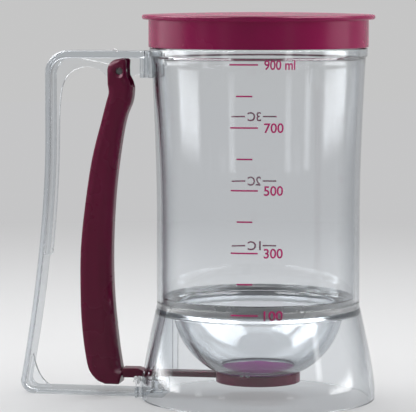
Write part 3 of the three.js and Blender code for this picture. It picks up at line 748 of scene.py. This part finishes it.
def make_tube():
    collar_low = COLLAR_TOP - COLLAR_HEIGHT
    collar_radius = TUBE_TOP_RADIUS + COLLAR_STEP
    bore = TUBE_RADIUS - TUBE_WALL
    neck_bore = NECK_RADIUS - NECK_WALL
    bottom = SEAM + WELD_GAP
    tongue_bottom = SEAM - TONGUE_DEPTH
    tongue = bore + TONGUE_WIDTH
    heights = levels(TAPER_START, collar_low - 0.4, 16)
    below = levels(bottom, TAPER_START, 3)[1:-1]

    def ridges(radius, height, angle):
        on_tongue = tongue_bottom + 0.2 < height < SEAM - 0.1 and radius < tongue + 0.01
        ridge = max(0.0, math.cos(RIDGES * angle)) * RIDGE_HEIGHT
        return (ridge if radius > bore + TONGUE_WIDTH / 2 else -ridge) if on_tongue else 0.0

    tube = revolve("jug_tube", fillet([
        (TUBE_RADIUS, bottom, 0.35), *[(TUBE_RADIUS, z) for z in below],
        *[(tube_outside(z), z) for z in heights],
        (TUBE_TOP_RADIUS, collar_low, 0.4), (collar_radius, collar_low + COLLAR_STEP, 0.5),
        (collar_radius, COLLAR_TOP, 0.6), (NECK_RADIUS, COLLAR_TOP, 0.25), (NECK_RADIUS, NECK_TOP, 0.75),
        (neck_bore, NECK_TOP, 0.75), (neck_bore, COLLAR_TOP, 1.2),
        *[(tube_outside(z) - TUBE_WALL, z) for z in reversed(heights)],
        *[(bore, z) for z in reversed(below)],
        (bore, SEAM + WELD_GAP), *[(bore, z) for z in levels(SEAM - 0.2, tongue_bottom + 0.4, 2)],
        (bore, tongue_bottom, 0.3), (tongue, tongue_bottom, 0.3),
        *[(tongue, z) for z in levels(tongue_bottom + 0.4, SEAM - 0.2, 2)], (tongue, bottom, 0.2),
    ]), 6 * RIDGES, ridges)
    half = BOSS_WIDTH / 2
    low = BOSS_TOP - BOSS_HEIGHT
    boss = block("boss", (TUBE_TOP_RADIUS - TUBE_WALL / 2, BOSS_FACE), (low, BOSS_TOP), (-half, half), 0.5)
    keyway_half = KEY_WIDTH / 2 + SEAT_GAP
    keyway = block("keyway", (BOSS_FACE - KEY_DEPTH - SEAT_GAP, BOSS_FACE + PAST),
                   (low + KEY_SHOULDER - SEAT_GAP, BOSS_TOP - KEY_SHOULDER + SEAT_GAP), (-keyway_half, keyway_half))
    union(tube, boss)
    cut(tube, keyway)
    settle(tube, CLEAR, "jug", "measuring_tube")
    frost(tube, lambda radius, height: height < bottom + 0.1)
    return tube


def slot_cutter():
    """The arm's slot through the skirt: upright sides, a flat top and two round corners."""
    half, centre = SLOT_WIDTH / 2 - SLOT_ROUND, SLOT_TOP - SLOT_ROUND
    shape = [(-half - SLOT_ROUND, -PAST), (half + SLOT_ROUND, -PAST),
             *arc((half, centre), SLOT_ROUND, 0, 90, 6), *arc((-half, centre), SLOT_ROUND, 90, 180, 6)]
    bm = bmesh.new()
    ends = []
    for reach in (BASE_RADIUS + PAST, BASE_RADIUS - SKIRT_WALL * 3):
        ends.append([bm.verts.new(Vector((JUG_X - reach, y, z)) * MM) for y, z in shape])
        bm.faces.new(ends[-1])
    near, far = ends
    for i in range(len(shape)):
        n = (i + 1) % len(shape)
        bm.faces.new((near[i], near[n], far[n], far[i]))
    return as_object(bm, "slot")


def nub(name, heading, radius, height, size):
    """A small soft-edged nub on the outlet's lip, a little longer than it is wide."""
    bm = bmesh.new()
    bmesh.ops.create_icosphere(bm, subdivisions=3, radius=size * MM)
    for v in bm.verts:
        v.co.z *= 0.8
        v.co += noise.noise_vector(v.co / MM * 1.4 + Vector((heading, 0, 0))) * 0.12 * size * MM
    place = Vector((JUG_X + radius * math.cos(heading), radius * math.sin(heading), height)) * MM
    bm.transform(Matrix.Translation(place))
    return as_object(bm, name)


def make_base():
    centre = (BOWL_SHIFT, BOWL_HEIGHT)
    outer_bowl = BOWL_RADIUS + BOWL_WALL
    inner_start = -math.degrees(math.acos((OUTLET_RADIUS - BOWL_SHIFT) / BOWL_RADIUS))
    outer_end = -math.degrees(math.asin((BOWL_HEIGHT - LIP_BOTTOM - LIP_CHAMFER) / outer_bowl))
    heights = levels(WAIST, FOOT_BAND, 14)
    bore = TUBE_RADIUS - TUBE_WALL
    groove_outer = bore + TONGUE_WIDTH + SEAT_GAP
    groove_bottom = SEAM - TONGUE_DEPTH - SEAT_GAP
    rim = bore - SEAT_GAP
    ledge = SEAM + LEDGE_HEIGHT
    under = SEAM - SHOULDER_WALL
    bowl_side = BOWL_SHIFT + outer_bowl
    skirt_side = skirt_outside(under) - SKIRT_WALL
    base = revolve("jug_base", fillet([
        (BASE_RADIUS, 0, 0.5),
        *[(skirt_outside(z), z) for z in reversed(heights)],
        (TUBE_RADIUS, SEAM, 0.35), (groove_outer, SEAM, 0.15), (groove_outer, groove_bottom, 0.2),
        (rim, groove_bottom, 0.2), (rim, ledge, 0.5), (LEDGE_EDGE, ledge - LEDGE_FALL, 1.6),
        (BOWL_SHIFT + BOWL_RADIUS + BOWL_WALL / 5, SEAM, 1.6),
        *arc(centre, BOWL_RADIUS, 0, inner_start, 26),
        (OUTLET_RADIUS, LIP_BOTTOM, 0.4), (LIP_RADIUS, LIP_BOTTOM, 0.5),
        *arc(centre, outer_bowl, outer_end, 0, 26),
        (bowl_side, under, 2.2), (skirt_side, under, 2.2),
        *[(skirt_outside(z) - SKIRT_WALL, z) for z in heights[2:]],
        (BASE_RADIUS - SKIRT_WALL, 0, 0.5),
    ]), 320)
    rib = [
        *arc((RIB_INNER + RIB_ROUND, RIB_BOTTOM + RIB_ROUND), RIB_ROUND, 180, 270, 8),
        *[(skirt_outside(z) - SKIRT_WALL / 2, z) for z in levels(RIB_BOTTOM, under, 10)],
        (TUBE_RADIUS - SKIRT_WALL, under + 1), (bowl_side - BOWL_WALL / 3, under + 1),
        (RIB_INNER, BOWL_HEIGHT - SHOULDER_WALL),
    ]
    ribs = [plate(f"rib_{side}", rib, RIB_THICKNESS, 0.3, 2, side * RIB_SPACING / 2) for side in (-1, 1)]
    nubs = [nub("nub_a", FRONT - math.radians(23), LIP_RADIUS - 0.1, LIP_BOTTOM - 0.1, 0.85),
            nub("nub_b", FRONT - math.radians(15), LIP_RADIUS, LIP_BOTTOM, 1.0),
            nub("nub_c", FRONT + math.radians(80), LIP_RADIUS + 0.3, LIP_BOTTOM + 1.8, 1.1)]
    cut(base, slot_cutter())
    union(base, *ribs, *nubs)
    settle(base, CLEAR, "jug", "funnel_base")
    frost(base, lambda radius, height: (
        rim - 0.1 < radius < groove_outer + 0.1 and groove_bottom - 0.1 < height < SEAM
        or OUTLET_RADIUS < radius < LIP_RADIUS + 0.5 and height < LIP_BOTTOM + 0.4))
    return base


def make_handle():
    face = BOSS_FACE + SEAT_GAP
    half = HANDLE_WIDTH / 2
    corner = (GRIP_REACH - TOP_CORNER, BOSS_TOP - TOP_CORNER)
    foot = (HANDLE_REACH - FOOT_CORNER, FOOT_CORNER)
    under = BOSS_TOP - TOP_BAR
    heights = levels(FLARE_START, FOOT_CORNER, 24)
    inner_corner = TOP_CORNER - STRIP_WALL
    strip = plate("jug_handle", [
        (face, BOSS_TOP), *arc(corner, TOP_CORNER, 90, 0, 16),
        *[(grip_outside(z), z) for z in heights],
        *arc(foot, FOOT_CORNER, 0, -90, 12)[1:], (SADDLE_INNER, 0), (SADDLE_INNER, STRIP_WALL),
        *arc(foot, FOOT_CORNER - STRIP_WALL, -90, 0, 12),
        *[(grip_outside(z) - STRIP_WALL, z) for z in reversed(heights[:-1])],
        *arc((corner[0], under - inner_corner), inner_corner, 0, 90, 14), (face, under),
    ], HANDLE_WIDTH, 0.75, 3)
    span = grip_outside(FLARE_START) - STRIP_WALL - PIVOT[0]
    arch = smooth([(PIVOT[0] + across * span, under - down * ARCH_DEPTH) for across, down in ARCH_SHARES], 44)
    low_rib = GRIP_RIB_END + 4
    rib_edge = [(grip_outside(z) - STRIP_WALL - GRIP_RIB, z) for z in levels(FLARE_START - 3, low_rib, 12)]
    backing = [(grip_outside(z) - STRIP_WALL / 2, z) for z in levels(GRIP_RIB_END, corner[1], 12)]
    web = plate("web", [
        (face + END_PLATE / 2, under + TOP_BAR / 2), (face + END_PLATE / 2, BOSS_TOP - BOSS_HEIGHT + END_PLATE),
        *arc(PIVOT, EAR_RADIUS, 215, 318, 14), *arch, *rib_edge,
        *arc((grip_outside(low_rib) - STRIP_WALL - 0.5, low_rib - 1.4), 2.3, 150, 250, 6), *backing,
        *arc(corner, TOP_CORNER - STRIP_WALL / 2, 0, 90, 10),
    ], WEB, 0.55, 3)
    top = STRIP_WALL + GUSSET_RISE
    start = Vector((grip_outside(top) - STRIP_WALL, top))
    end = Vector((grip_outside(STRIP_WALL) - STRIP_WALL - GUSSET_RUN, STRIP_WALL))
    bend = Vector((start.x - GUSSET_RUN / 6, STRIP_WALL + GUSSET_RISE / 6))
    curve = [start.lerp(bend, t).lerp(bend.lerp(end, t), t) for t in levels(0, 1, 14)]
    gusset = plate("gusset", [
        *[(p.x, p.y) for p in curve], (end.x, STRIP_WALL / 2),
        *arc(foot, FOOT_CORNER - STRIP_WALL / 2, -90, 0, 8), (start.x + STRIP_WALL / 2, top),
    ], WEB, 0.45, 2)
    low = BOSS_TOP - BOSS_HEIGHT
    end_plate = block("end_plate", (face, face + END_PLATE), (low, BOSS_TOP), (-half, half), 0.5)
    key = block("key", (face - KEY_DEPTH, face + END_PLATE / 2), (low + KEY_SHOULDER, BOSS_TOP - KEY_SHOULDER),
                (-KEY_WIDTH / 2, KEY_WIDTH / 2), 0.3)
    saddle_half = SLOT_WIDTH / 2 - SEAT_GAP
    saddle = block("saddle", (SADDLE_INNER, SADDLE_OUTER), (0, SADDLE_HEIGHT), (-saddle_half, saddle_half), 0.5)
    flange = block("flange", (SADDLE_OUTER - FLANGE_THICKNESS, SADDLE_OUTER), (0, FLANGE_HEIGHT),
                   (-FLANGE_WIDTH / 2, FLANGE_WIDTH / 2), 0.45)
    channel = block("channel", (SADDLE_INNER - PAST, SADDLE_OUTER + PAST), (STRIP_WALL, SADDLE_HEIGHT + PAST),
                    (-SADDLE_CHANNEL / 2, SADDLE_CHANNEL / 2))
    union(saddle, flange)
    cut(saddle, channel)
    union(strip, web, gusset, end_plate, key, saddle)
    cut(strip, bar("bore", (PIVOT[0], 0, PIVOT[1]), PIN_RADIUS + SEAT_GAP, WEB + 2 * PAST))
    return settle(strip, CLEAR, "jug", "handle")


def make_weld():
    """Melted plastic that was squeezed out where the handle's foot is welded into the slot."""
    beads = []
    side_y = SLOT_WIDTH / 2 + WELD_PROUD
    for i, (reach, side, height, size) in enumerate(WELD_BEADS):
        bm = bmesh.new()
        bmesh.ops.create_icosphere(bm, subdivisions=4, radius=size * MM)
        shift = Vector((i * 3.1, 0, 0))
        for v in bm.verts:
            v.co = Vector((v.co.x, v.co.y * 0.55, v.co.z * 0.9))
            v.co += noise.noise_vector(v.co / MM * 0.9 + shift) * 0.42 * size * MM
            v.co += noise.noise_vector(v.co / MM * 2.6 + shift) * 0.24 * size * MM
        bm.transform(Matrix.Translation(Vector((JUG_X - reach, side * side_y, height)) * MM))
        for v in bm.verts:
            v.co.z = max(v.co.z, 0.3 * MM)
        beads.append(as_object(bm, f"bead_{i}"))
    weld = union(beads[0], *beads[1:])
    weld.name = "foot_weld"
    settle(weld, CRUMPLED, "jug", crease=24)
    return weld


def make_flash():
    """The thin curl that the mould's parting line left on the handle's top bar."""
    half = HANDLE_WIDTH / 2
    path = smooth([(reach, rise) for reach, rise, _ in FLASH], 48)
    edges = smooth([(reach, share) for reach, _, share in FLASH], 48)
    points = [Vector((reach, -half * share, BOSS_TOP + rise)) for (reach, rise), (_, share) in zip(path, edges)]
    return settle(wire("handle_flash", points, FLASH_RADIUS), CRUMPLED, "jug", crease=60)


# Coloured pieces

def make_lid():
    inside = LID_SKIRT - LID_WALL
    under = LID_TOP - LID_FLANGE_DEPTH
    low = COLLAR_TOP + SEAT_GAP
    plug = NECK_RADIUS - NECK_WALL - SEAT_GAP
    dome = [(r, LID_TOP + LID_DOME * (1 - (r / LID_FLANGE) ** 2)) for r in levels(0, LID_SKIRT, 7)]
    lid = revolve("lid_cap", fillet([
        *dome, (LID_SKIRT + 0.9, LID_TOP + 0.12, 0.4), (LID_FLANGE, LID_TOP, 0.95),
        (LID_FLANGE, under, 0.95), (LID_SKIRT, under, 0.5), (LID_SKIRT, low, 0.45), (inside, low, 0.45),
        (inside - 0.15, under, 0.6), (plug, under, 0.5), (plug, under - PLUG_DEPTH, 0.6),
        (plug - PLUG_WALL, under - PLUG_DEPTH, 0.5), (plug - PLUG_WALL, under, 0.6), (0, under),
    ], 5, closed=False), 224)
    return settle(lid, LID_PLASTIC, "lid", "lid")


def edge(shares):
    return smooth([(PIVOT[0] + across * TRIGGER_BOW, PIVOT[1] - down * TRIGGER_DROP) for down, across in shares], 110)


def reach_at(points, height):
    return min(points, key=lambda p: abs(p[1] - height))[0]


def make_trigger():
    outer, inner = edge(OUTER_SHARES), edge(INNER_SHARES)
    heel, top = PIVOT[0] - HEAD_FLAT, PIVOT[1] + HEAD_RADIUS
    foot = TRIGGER_FOOT + HEAD_RADIUS
    head = [(heel, PIVOT[1] + 1.7), (heel, top - 2.2), *arc((heel + 1.4, top - 1.4), 1.4, 165, 105, 4),
            *arc(PIVOT, HEAD_RADIUS, 90, -6, 18)]
    rim = [(r, z, 3.6, GRIP_ROUND) for r, z in [*head, *outer]]
    for r, z in inner:
        rim.append((r, z, *((FINGER_RUN, FINGER_ROUND) if z > foot else (2.0, GRIP_ROUND))))
    trigger = swollen("trigger", rim, TRIGGER_WIDTH)
    floor_z = TRIGGER_FOOT + TRIGGER_WALL
    floor_edge = [(r + TRIGGER_WALL, z) for r, z in inner if floor_z + 3 < z < PIVOT[1] - 8]
    far = PIVOT[0] + TRIGGER_BOW + HEAD_RADIUS
    hollow = swollen("hollow", [
        *[(r, z, 0.8, 0.5) for r, z in ((heel - 2 * HEAD_RADIUS, top + PAST), (far, top + PAST), (far, floor_z),
                                        (floor_edge[0][0], floor_z))],
        *[(r, z, 3.0, 2.4) for r, z in floor_edge],
        (heel - 2 * HEAD_RADIUS, PIVOT[1] - EAR_RADIUS - SEAT_GAP, 0.8, 0.5),
    ], TRIGGER_WIDTH - 2 * TRIGGER_WALL)
    cut(trigger, hollow)
    ribs = []
    for i in range(CROSS_RIBS):
        height = PIVOT[1] - (i + 1.3) / (CROSS_RIBS + 1) * TRIGGER_DROP
        reach = (reach_at(inner, height) + TRIGGER_WALL - 0.2, reach_at(outer, height) - 3.5)
        ribs.append(block(f"cross_rib_{i}", reach, (height, height + CROSS_RIB), (-5, 5)))
    union(trigger, *ribs)
    wall = reach_at(inner, ARM_BOTTOM + ARM_THICKNESS / 2)
    low, high = ARM_BOTTOM - SEAT_GAP, ARM_BOTTOM + ARM_THICKNESS + SEAT_GAP
    end = wall + TRIGGER_WALL + ARM_TONGUE + SEAT_GAP
    half = ARM_WIDTH / 2 + SEAT_GAP
    centre = (PIVOT[0], 0, PIVOT[1])
    cut(trigger,
        block("socket", (heel - 3 * HEAD_RADIUS, end), (low, high), (-half, half)),
        block("pocket", (wall + TRIGGER_WALL, end), (low, high + BARB_RISE), (-half, half)),
        bar("bore", centre, PIN_RADIUS + SEAT_GAP, TRIGGER_WIDTH + 4 * PAST),
        *[dimple(f"dish_{side}", *PIVOT, side * TRIGGER_WIDTH / 2, 3.3, 0.9) for side in (-1, 1)])
    return settle(trigger, TRIGGER_PLASTIC, "trigger", "trigger_lever")


def make_arm():
    rim = PLATE_RADIUS - PLATE_RIM
    ceiling = PLATE_TOP - PLATE_FLOOR
    rim_top = LIP_BOTTOM - PLATE_LIP_DROP
    arm = revolve("valve_plate", fillet([
        (0, PLATE_TOP), (SEAL_RADIUS + SEAT_GAP, PLATE_TOP, 0.2), (SEAL_RADIUS + SEAT_GAP, rim_top, 0.3),
        (PLATE_RADIUS, rim_top, 0.6),
        (PLATE_RADIUS, PLATE_BOTTOM, 0.5), (rim, PLATE_BOTTOM, 0.4), (rim, ceiling, 0.6), (0, ceiling),
    ], 4, closed=False), 144)
    wall = reach_at(edge(INNER_SHARES), ARM_BOTTOM + ARM_THICKNESS / 2)
    tip = wall + TRIGGER_WALL + ARM_TONGUE
    half = ARM_WIDTH / 2
    top = ARM_BOTTOM + ARM_THICKNESS
    beam = block("beam", (PLATE_RADIUS - 0.8, tip), (ARM_BOTTOM, top), (-half, half), 0.45)
    grow = ARM_ROOT - ARM_THICKNESS
    thick = ARM_ROOT_REACH + ARM_THICKNESS
    root = plate("root", [(ARM_ROOT_REACH, ARM_BOTTOM), (ARM_ROOT_REACH, top), (thick, top + grow),
                          (wall - SEAT_GAP, top + grow), (wall - SEAT_GAP, ARM_BOTTOM - grow),
                          (thick, ARM_BOTTOM - grow)], ARM_WIDTH, 0.4, 3)
    barb_start = wall + TRIGGER_WALL + 2 * SEAT_GAP
    middle = ARM_BOTTOM + ARM_THICKNESS / 2
    barb = plate("barb", [(barb_start, middle), (barb_start, top + BARB_RISE), (barb_start + BARB_LENGTH, middle)],
                 ARM_WIDTH - 2 * BARB_RISE)
    union(arm, beam, root, barb)
    cut(arm, bar("stud_hole", (0, 0, PLATE_TOP), STUD_RADIUS / 2 + SEAT_GAP, PLATE_TOP, "Z"))
    return settle(arm, TRIGGER_PLASTIC, "trigger", "valve_arm")


def make_seal():
    top, low = LIP_BOTTOM - SEAT_GAP, PLATE_TOP + SEAT_GAP
    ball = (DOME_RADIUS ** 2 + DOME_RISE ** 2) / (2 * DOME_RISE)
    angle = math.degrees(math.asin(DOME_RADIUS / ball))
    head = PLATE_TOP - PLATE_FLOOR - SEAT_GAP
    shank = STUD_RADIUS / 2
    seal = revolve("valve_seal_disc", fillet([
        (0, head - STUD_HEAD), (shank, head - STUD_HEAD, 0.3), (STUD_RADIUS, head, 0.2), (shank, head), (shank, low),
        (SEAL_RADIUS, low, 0.3), (SEAL_RADIUS, top, 0.4), (DOME_RADIUS + 1, top),
        *arc((0, top + DOME_RISE - ball), ball, 90 - angle, 89, 14), (0, top + DOME_RISE),
    ], 3, closed=False), 144)
    return settle(seal, SILICONE, "trigger", "valve_seal")


def make_pin():
    pin = bar("pivot", (PIVOT[0], 0, PIVOT[1]), PIN_RADIUS, TRIGGER_WIDTH - 2 * PIN_INSET, "Y", 48, 0.35)
    return settle(pin, DARK_STEEL, "trigger", "pivot_pin")


def make_spring():
    """Torsion spring: a leg under the top bar, the turns round the pin, a leg in the trigger's channel."""
    beside = WEB / 2 + SEAT_GAP + WIRE_RADIUS
    room = TRIGGER_WIDTH / 2 - TRIGGER_WALL - SEAT_GAP - WIRE_RADIUS - beside
    steps = 72
    path = []
    for i in range(steps + 1):
        angle = math.pi / 2 + 2 * math.pi * SPRING_TURNS * i / steps
        path.append(Vector((PIVOT[0] + COIL_RADIUS * math.cos(angle), -beside - room * (1 - i / steps),
                            PIVOT[1] + COIL_RADIUS * math.sin(angle))))
    rise = BOSS_TOP - TOP_BAR - SEAT_GAP - WIRE_RADIUS - path[0].z
    lead = [path[0] + Vector((FIXED_LEG, 0, rise)) * t for t in (1, 0.75, 0.5, 0.25, 0.1, 0.04)]
    tail = [path[-1] - Vector((0, 0, MOVING_LEG)) * t for t in (0.06, 0.2, 0.5, 0.8, 1)]
    points = [*lead, *path, *tail]
    spring = wire("torsion_spring", points, WIRE_RADIUS)
    return settle(spring, SPRING_STEEL, "jug", "return_spring", crease=60)


# Printed scales

def wrap(piece, heading):
    """Lays flat print (x across, y up, in mm) on the outside of the tube about a heading."""
    for v in piece.data.vertices:
        across, height, proud = v.co
        radius = tube_outside(height) + PRINT_GAP + proud
        angle = heading + across / TUBE_RADIUS
        v.co = Vector((JUG_X + radius * math.cos(angle), radius * math.sin(angle), height)) * MM
    return piece


def dash(name, start, end, height):
    bm = bmesh.new()
    half = MARK_THICKNESS / 2
    grid = [[bm.verts.new((x, height + side * half, 0)) for side in (-1, 1)] for x in levels(start, end, 14)]
    for left, right in zip(grid, grid[1:]):
        bm.faces.new((left[0], right[0], right[1], left[1]))
    result = bmesh.ops.extrude_face_region(bm, geom=bm.faces[:])
    for v in result["geom"]:
        if isinstance(v, bmesh.types.BMVert):
            v.co.z += PRINT_THICKNESS
    return as_object(bm, name)


def label(name, text, left, width, height, weight=0.1):
    """Numerals of a set width and height whose middle is at a height."""
    curve = bpy.data.curves.new(name, "FONT")
    curve.body = text
    curve.size = 6
    curve.extrude = PRINT_THICKNESS / 2
    curve.resolution_u = 6
    curve.offset = weight
    piece = as_mesh(curve, name)
    xs = [v.co.x for v in piece.data.vertices]
    digits_high = max(v.co.y for v in piece.data.vertices)
    for v in piece.data.vertices:
        v.co.x = left + (v.co.x - min(xs)) / (max(xs) - min(xs)) * width
        v.co.y = height + (v.co.y / digits_high - 0.5) * NUMERAL_HEIGHT
        v.co.z += PRINT_THICKNESS / 2
    return piece


def make_scales():
    front = []
    for hundreds in range(1, 10):
        height = HUNDRED_HEIGHT + (hundreds - 1) * MARK_STEP
        long = hundreds % 2 == 1
        front.append(dash(f"mark_{hundreds}", *(LONG_MARK if long else SHORT_MARK), height))
        if long:
            text, width = (f"{hundreds}00", NUMERAL_WIDTH) if hundreds < 9 else ("900 ml", TOP_NUMERAL_WIDTH)
            front.append(label(f"volume_{hundreds}", text, NUMERAL_LEFT, width, height))
    for piece in front:
        wrap(piece, FRONT)
    back = []
    for cups, height in enumerate(CUP_HEIGHTS, 1):
        back.extend(dash(f"cup_mark_{cups}_{i}", *mark, height) for i, mark in enumerate(CUP_MARKS))
        back.append(label(f"cup_{cups}", f"{cups}C", *CUP_NUMERAL, height))
    for piece in back:
        wrap(piece, FRONT + math.pi)
    scales = join_pieces("printed_scales", [*front, *back])
    settle(scales, INK, "jug")
    return scales


make_tube()
make_base()
make_handle()
make_weld()
make_flash()
make_lid()
make_trigger()
make_arm()
make_seal()
make_pin()
make_spring()
make_scales()


# Stage, light and camera

def make_stage():
    """A plain pale floor. Towards its edge it turns into the backdrop's even tone."""
    bm = bmesh.new()
    bmesh.ops.create_circle(bm, cap_ends=True, segments=96, radius=FLOOR_RADIUS)
    bm.transform(Matrix.Translation((JUG_X * MM, 0, 0)))
    floor = as_object(bm, "studio_floor")
    n = Nodes("studio_paper")
    shader = n.principled(Base_Color=(0.82, 0.82, 0.82, 1), Roughness=0.8)
    shader.inputs["Specular IOR Level"].default_value = 0.1
    even = n.add("ShaderNodeEmission")
    even.inputs["Color"].default_value = (PALE, PALE, PALE * 1.01, 1)
    length = n.add("ShaderNodeVectorMath", operation="LENGTH")
    n.link(n.place, length.inputs[0])
    fade = n.ramp(n.math("DIVIDE", length.outputs["Value"], FLOOR_RADIUS), [(0.06, 0.45), (0.3, 1.0)])
    mix = n.add("ShaderNodeMixShader")
    n.link(n.math("MULTIPLY", n.seen(), fade), mix.inputs["Fac"])
    n.link(shader.outputs["BSDF"], mix.inputs[1])
    n.link(even.outputs["Emission"], mix.inputs[2])
    n.link(mix.outputs["Shader"], n.output.inputs["Surface"])
    floor.data.materials.append(n.material)


def area_light(name, heading, distance, height, size, power):
    """A soft box that stands round the jug at a heading from the camera, in degrees to the right."""
    light = bpy.data.lights.new(name, "AREA")
    light.shape = "RECTANGLE"
    light.size, light.size_y = size
    light.energy = power
    lamp = bpy.data.objects.new(name, light)
    angle = FRONT + math.radians(heading)
    middle = Vector((JUG_X * MM, 0, height))
    lamp.location = middle + Vector((math.cos(angle), math.sin(angle), 0)) * distance
    aim = Vector((JUG_X * MM, 0, min(height, 0.09)))
    lamp.rotation_euler = (aim - lamp.location).to_track_quat("-Z", "Y").to_euler()
    lamp.visible_glossy = False
    lamp.visible_transmission = False
    bpy.context.scene.collection.objects.link(lamp)
    return lamp


def make_world():
    """Even pale surroundings with soft windows in their reflections, and a plain sky that lights."""
    n = Nodes("studio", world=True)
    bpy.context.scene.world = n.material
    split = n.add("ShaderNodeSeparateXYZ")
    n.link(n.place, split.inputs["Vector"])
    rise = split.outputs["Z"]
    flat = n.add("ShaderNodeVectorMath", operation="MULTIPLY")
    n.link(n.place, flat.inputs[0])
    flat.inputs[1].default_value = (1, 1, 0)
    level = n.add("ShaderNodeVectorMath", operation="NORMALIZE")
    n.link(flat.outputs[0], level.inputs[0])
    light = 0
    for heading, half, low, high, strength in WINDOWS:
        angle = FRONT + math.radians(heading)
        aside = n.add("ShaderNodeVectorMath", operation="DOT_PRODUCT")
        n.link(level.outputs[0], aside.inputs[0])
        aside.inputs[1].default_value = (math.cos(angle), math.sin(angle), 0)
        across = n.step(aside.outputs["Value"], math.cos(math.radians(half + 3)), math.cos(math.radians(half - 3)))
        above = n.step(rise, low - 0.02, low + 0.02)
        below = n.step(rise, high + 0.03, high - 0.03)
        pane = n.math("MULTIPLY", n.math("MULTIPLY", above, below), across)
        light = n.math("ADD", n.math("MULTIPLY", pane, strength), light)
    path = n.add("ShaderNodeLightPath")
    direct = n.math("SUBTRACT", 1.0, path.outputs["Is Camera Ray"])
    tone = n.ramp(rise, [(0.3, (PALE, PALE, PALE * 1.01, 1)), (0.6, (CEILING, CEILING, CEILING, 1))])
    seen = n.add("ShaderNodeBackground")
    both = n.math("ADD", tone, n.math("MULTIPLY", light, direct))
    n.link(both, seen.inputs["Color"])
    lit = n.add("ShaderNodeBackground")
    lit.inputs["Color"].default_value = (0.95, 0.97, 1, 1)
    lit.inputs["Strength"].default_value = SKY
    mix = n.add("ShaderNodeMixShader")
    n.link(n.seen(), mix.inputs["Fac"])
    n.link(lit.outputs["Background"], mix.inputs[1])
    n.link(seen.outputs["Background"], mix.inputs[2])
    n.link(mix.outputs["Shader"], n.output.inputs["Surface"])


def make_camera():
    """Where the photograph was taken from: a little above the lid, looking slightly down."""
    toward = Vector((math.cos(FRONT), math.sin(FRONT), 0))
    right = Vector((math.cos(VIEW_YAW), math.sin(VIEW_YAW), 0))
    place = Vector((JUG_X * MM, 0, 0)) + toward * CAMERA_DISTANCE - right * CAMERA_LEFT
    place.z = CAMERA_HEIGHT
    look = -toward * math.cos(CAMERA_DOWN) - Vector((0, 0, math.sin(CAMERA_DOWN)))
    data = bpy.data.cameras.new("camera")
    data.sensor_width = 36
    data.lens = CAMERA_LENS
    camera = bpy.data.objects.new("camera", data)
    camera.location = place
    camera.rotation_euler = look.to_track_quat("-Z", "Y").to_euler()
    bpy.context.scene.collection.objects.link(camera)
    bpy.context.scene.camera = camera


make_stage()
make_world()
make_camera()
bpy.context.scene.view_settings.view_transform = "Standard"
area_light("left_softbox", -107, 0.95, 0.24, (0.72, 0.4), 6)
area_light("right_softbox", 91, 0.95, 0.24, (0.52, 0.4), 5)
area_light("top_softbox", 180, 0.35, 1.1, (0.8, 0.6), 9)
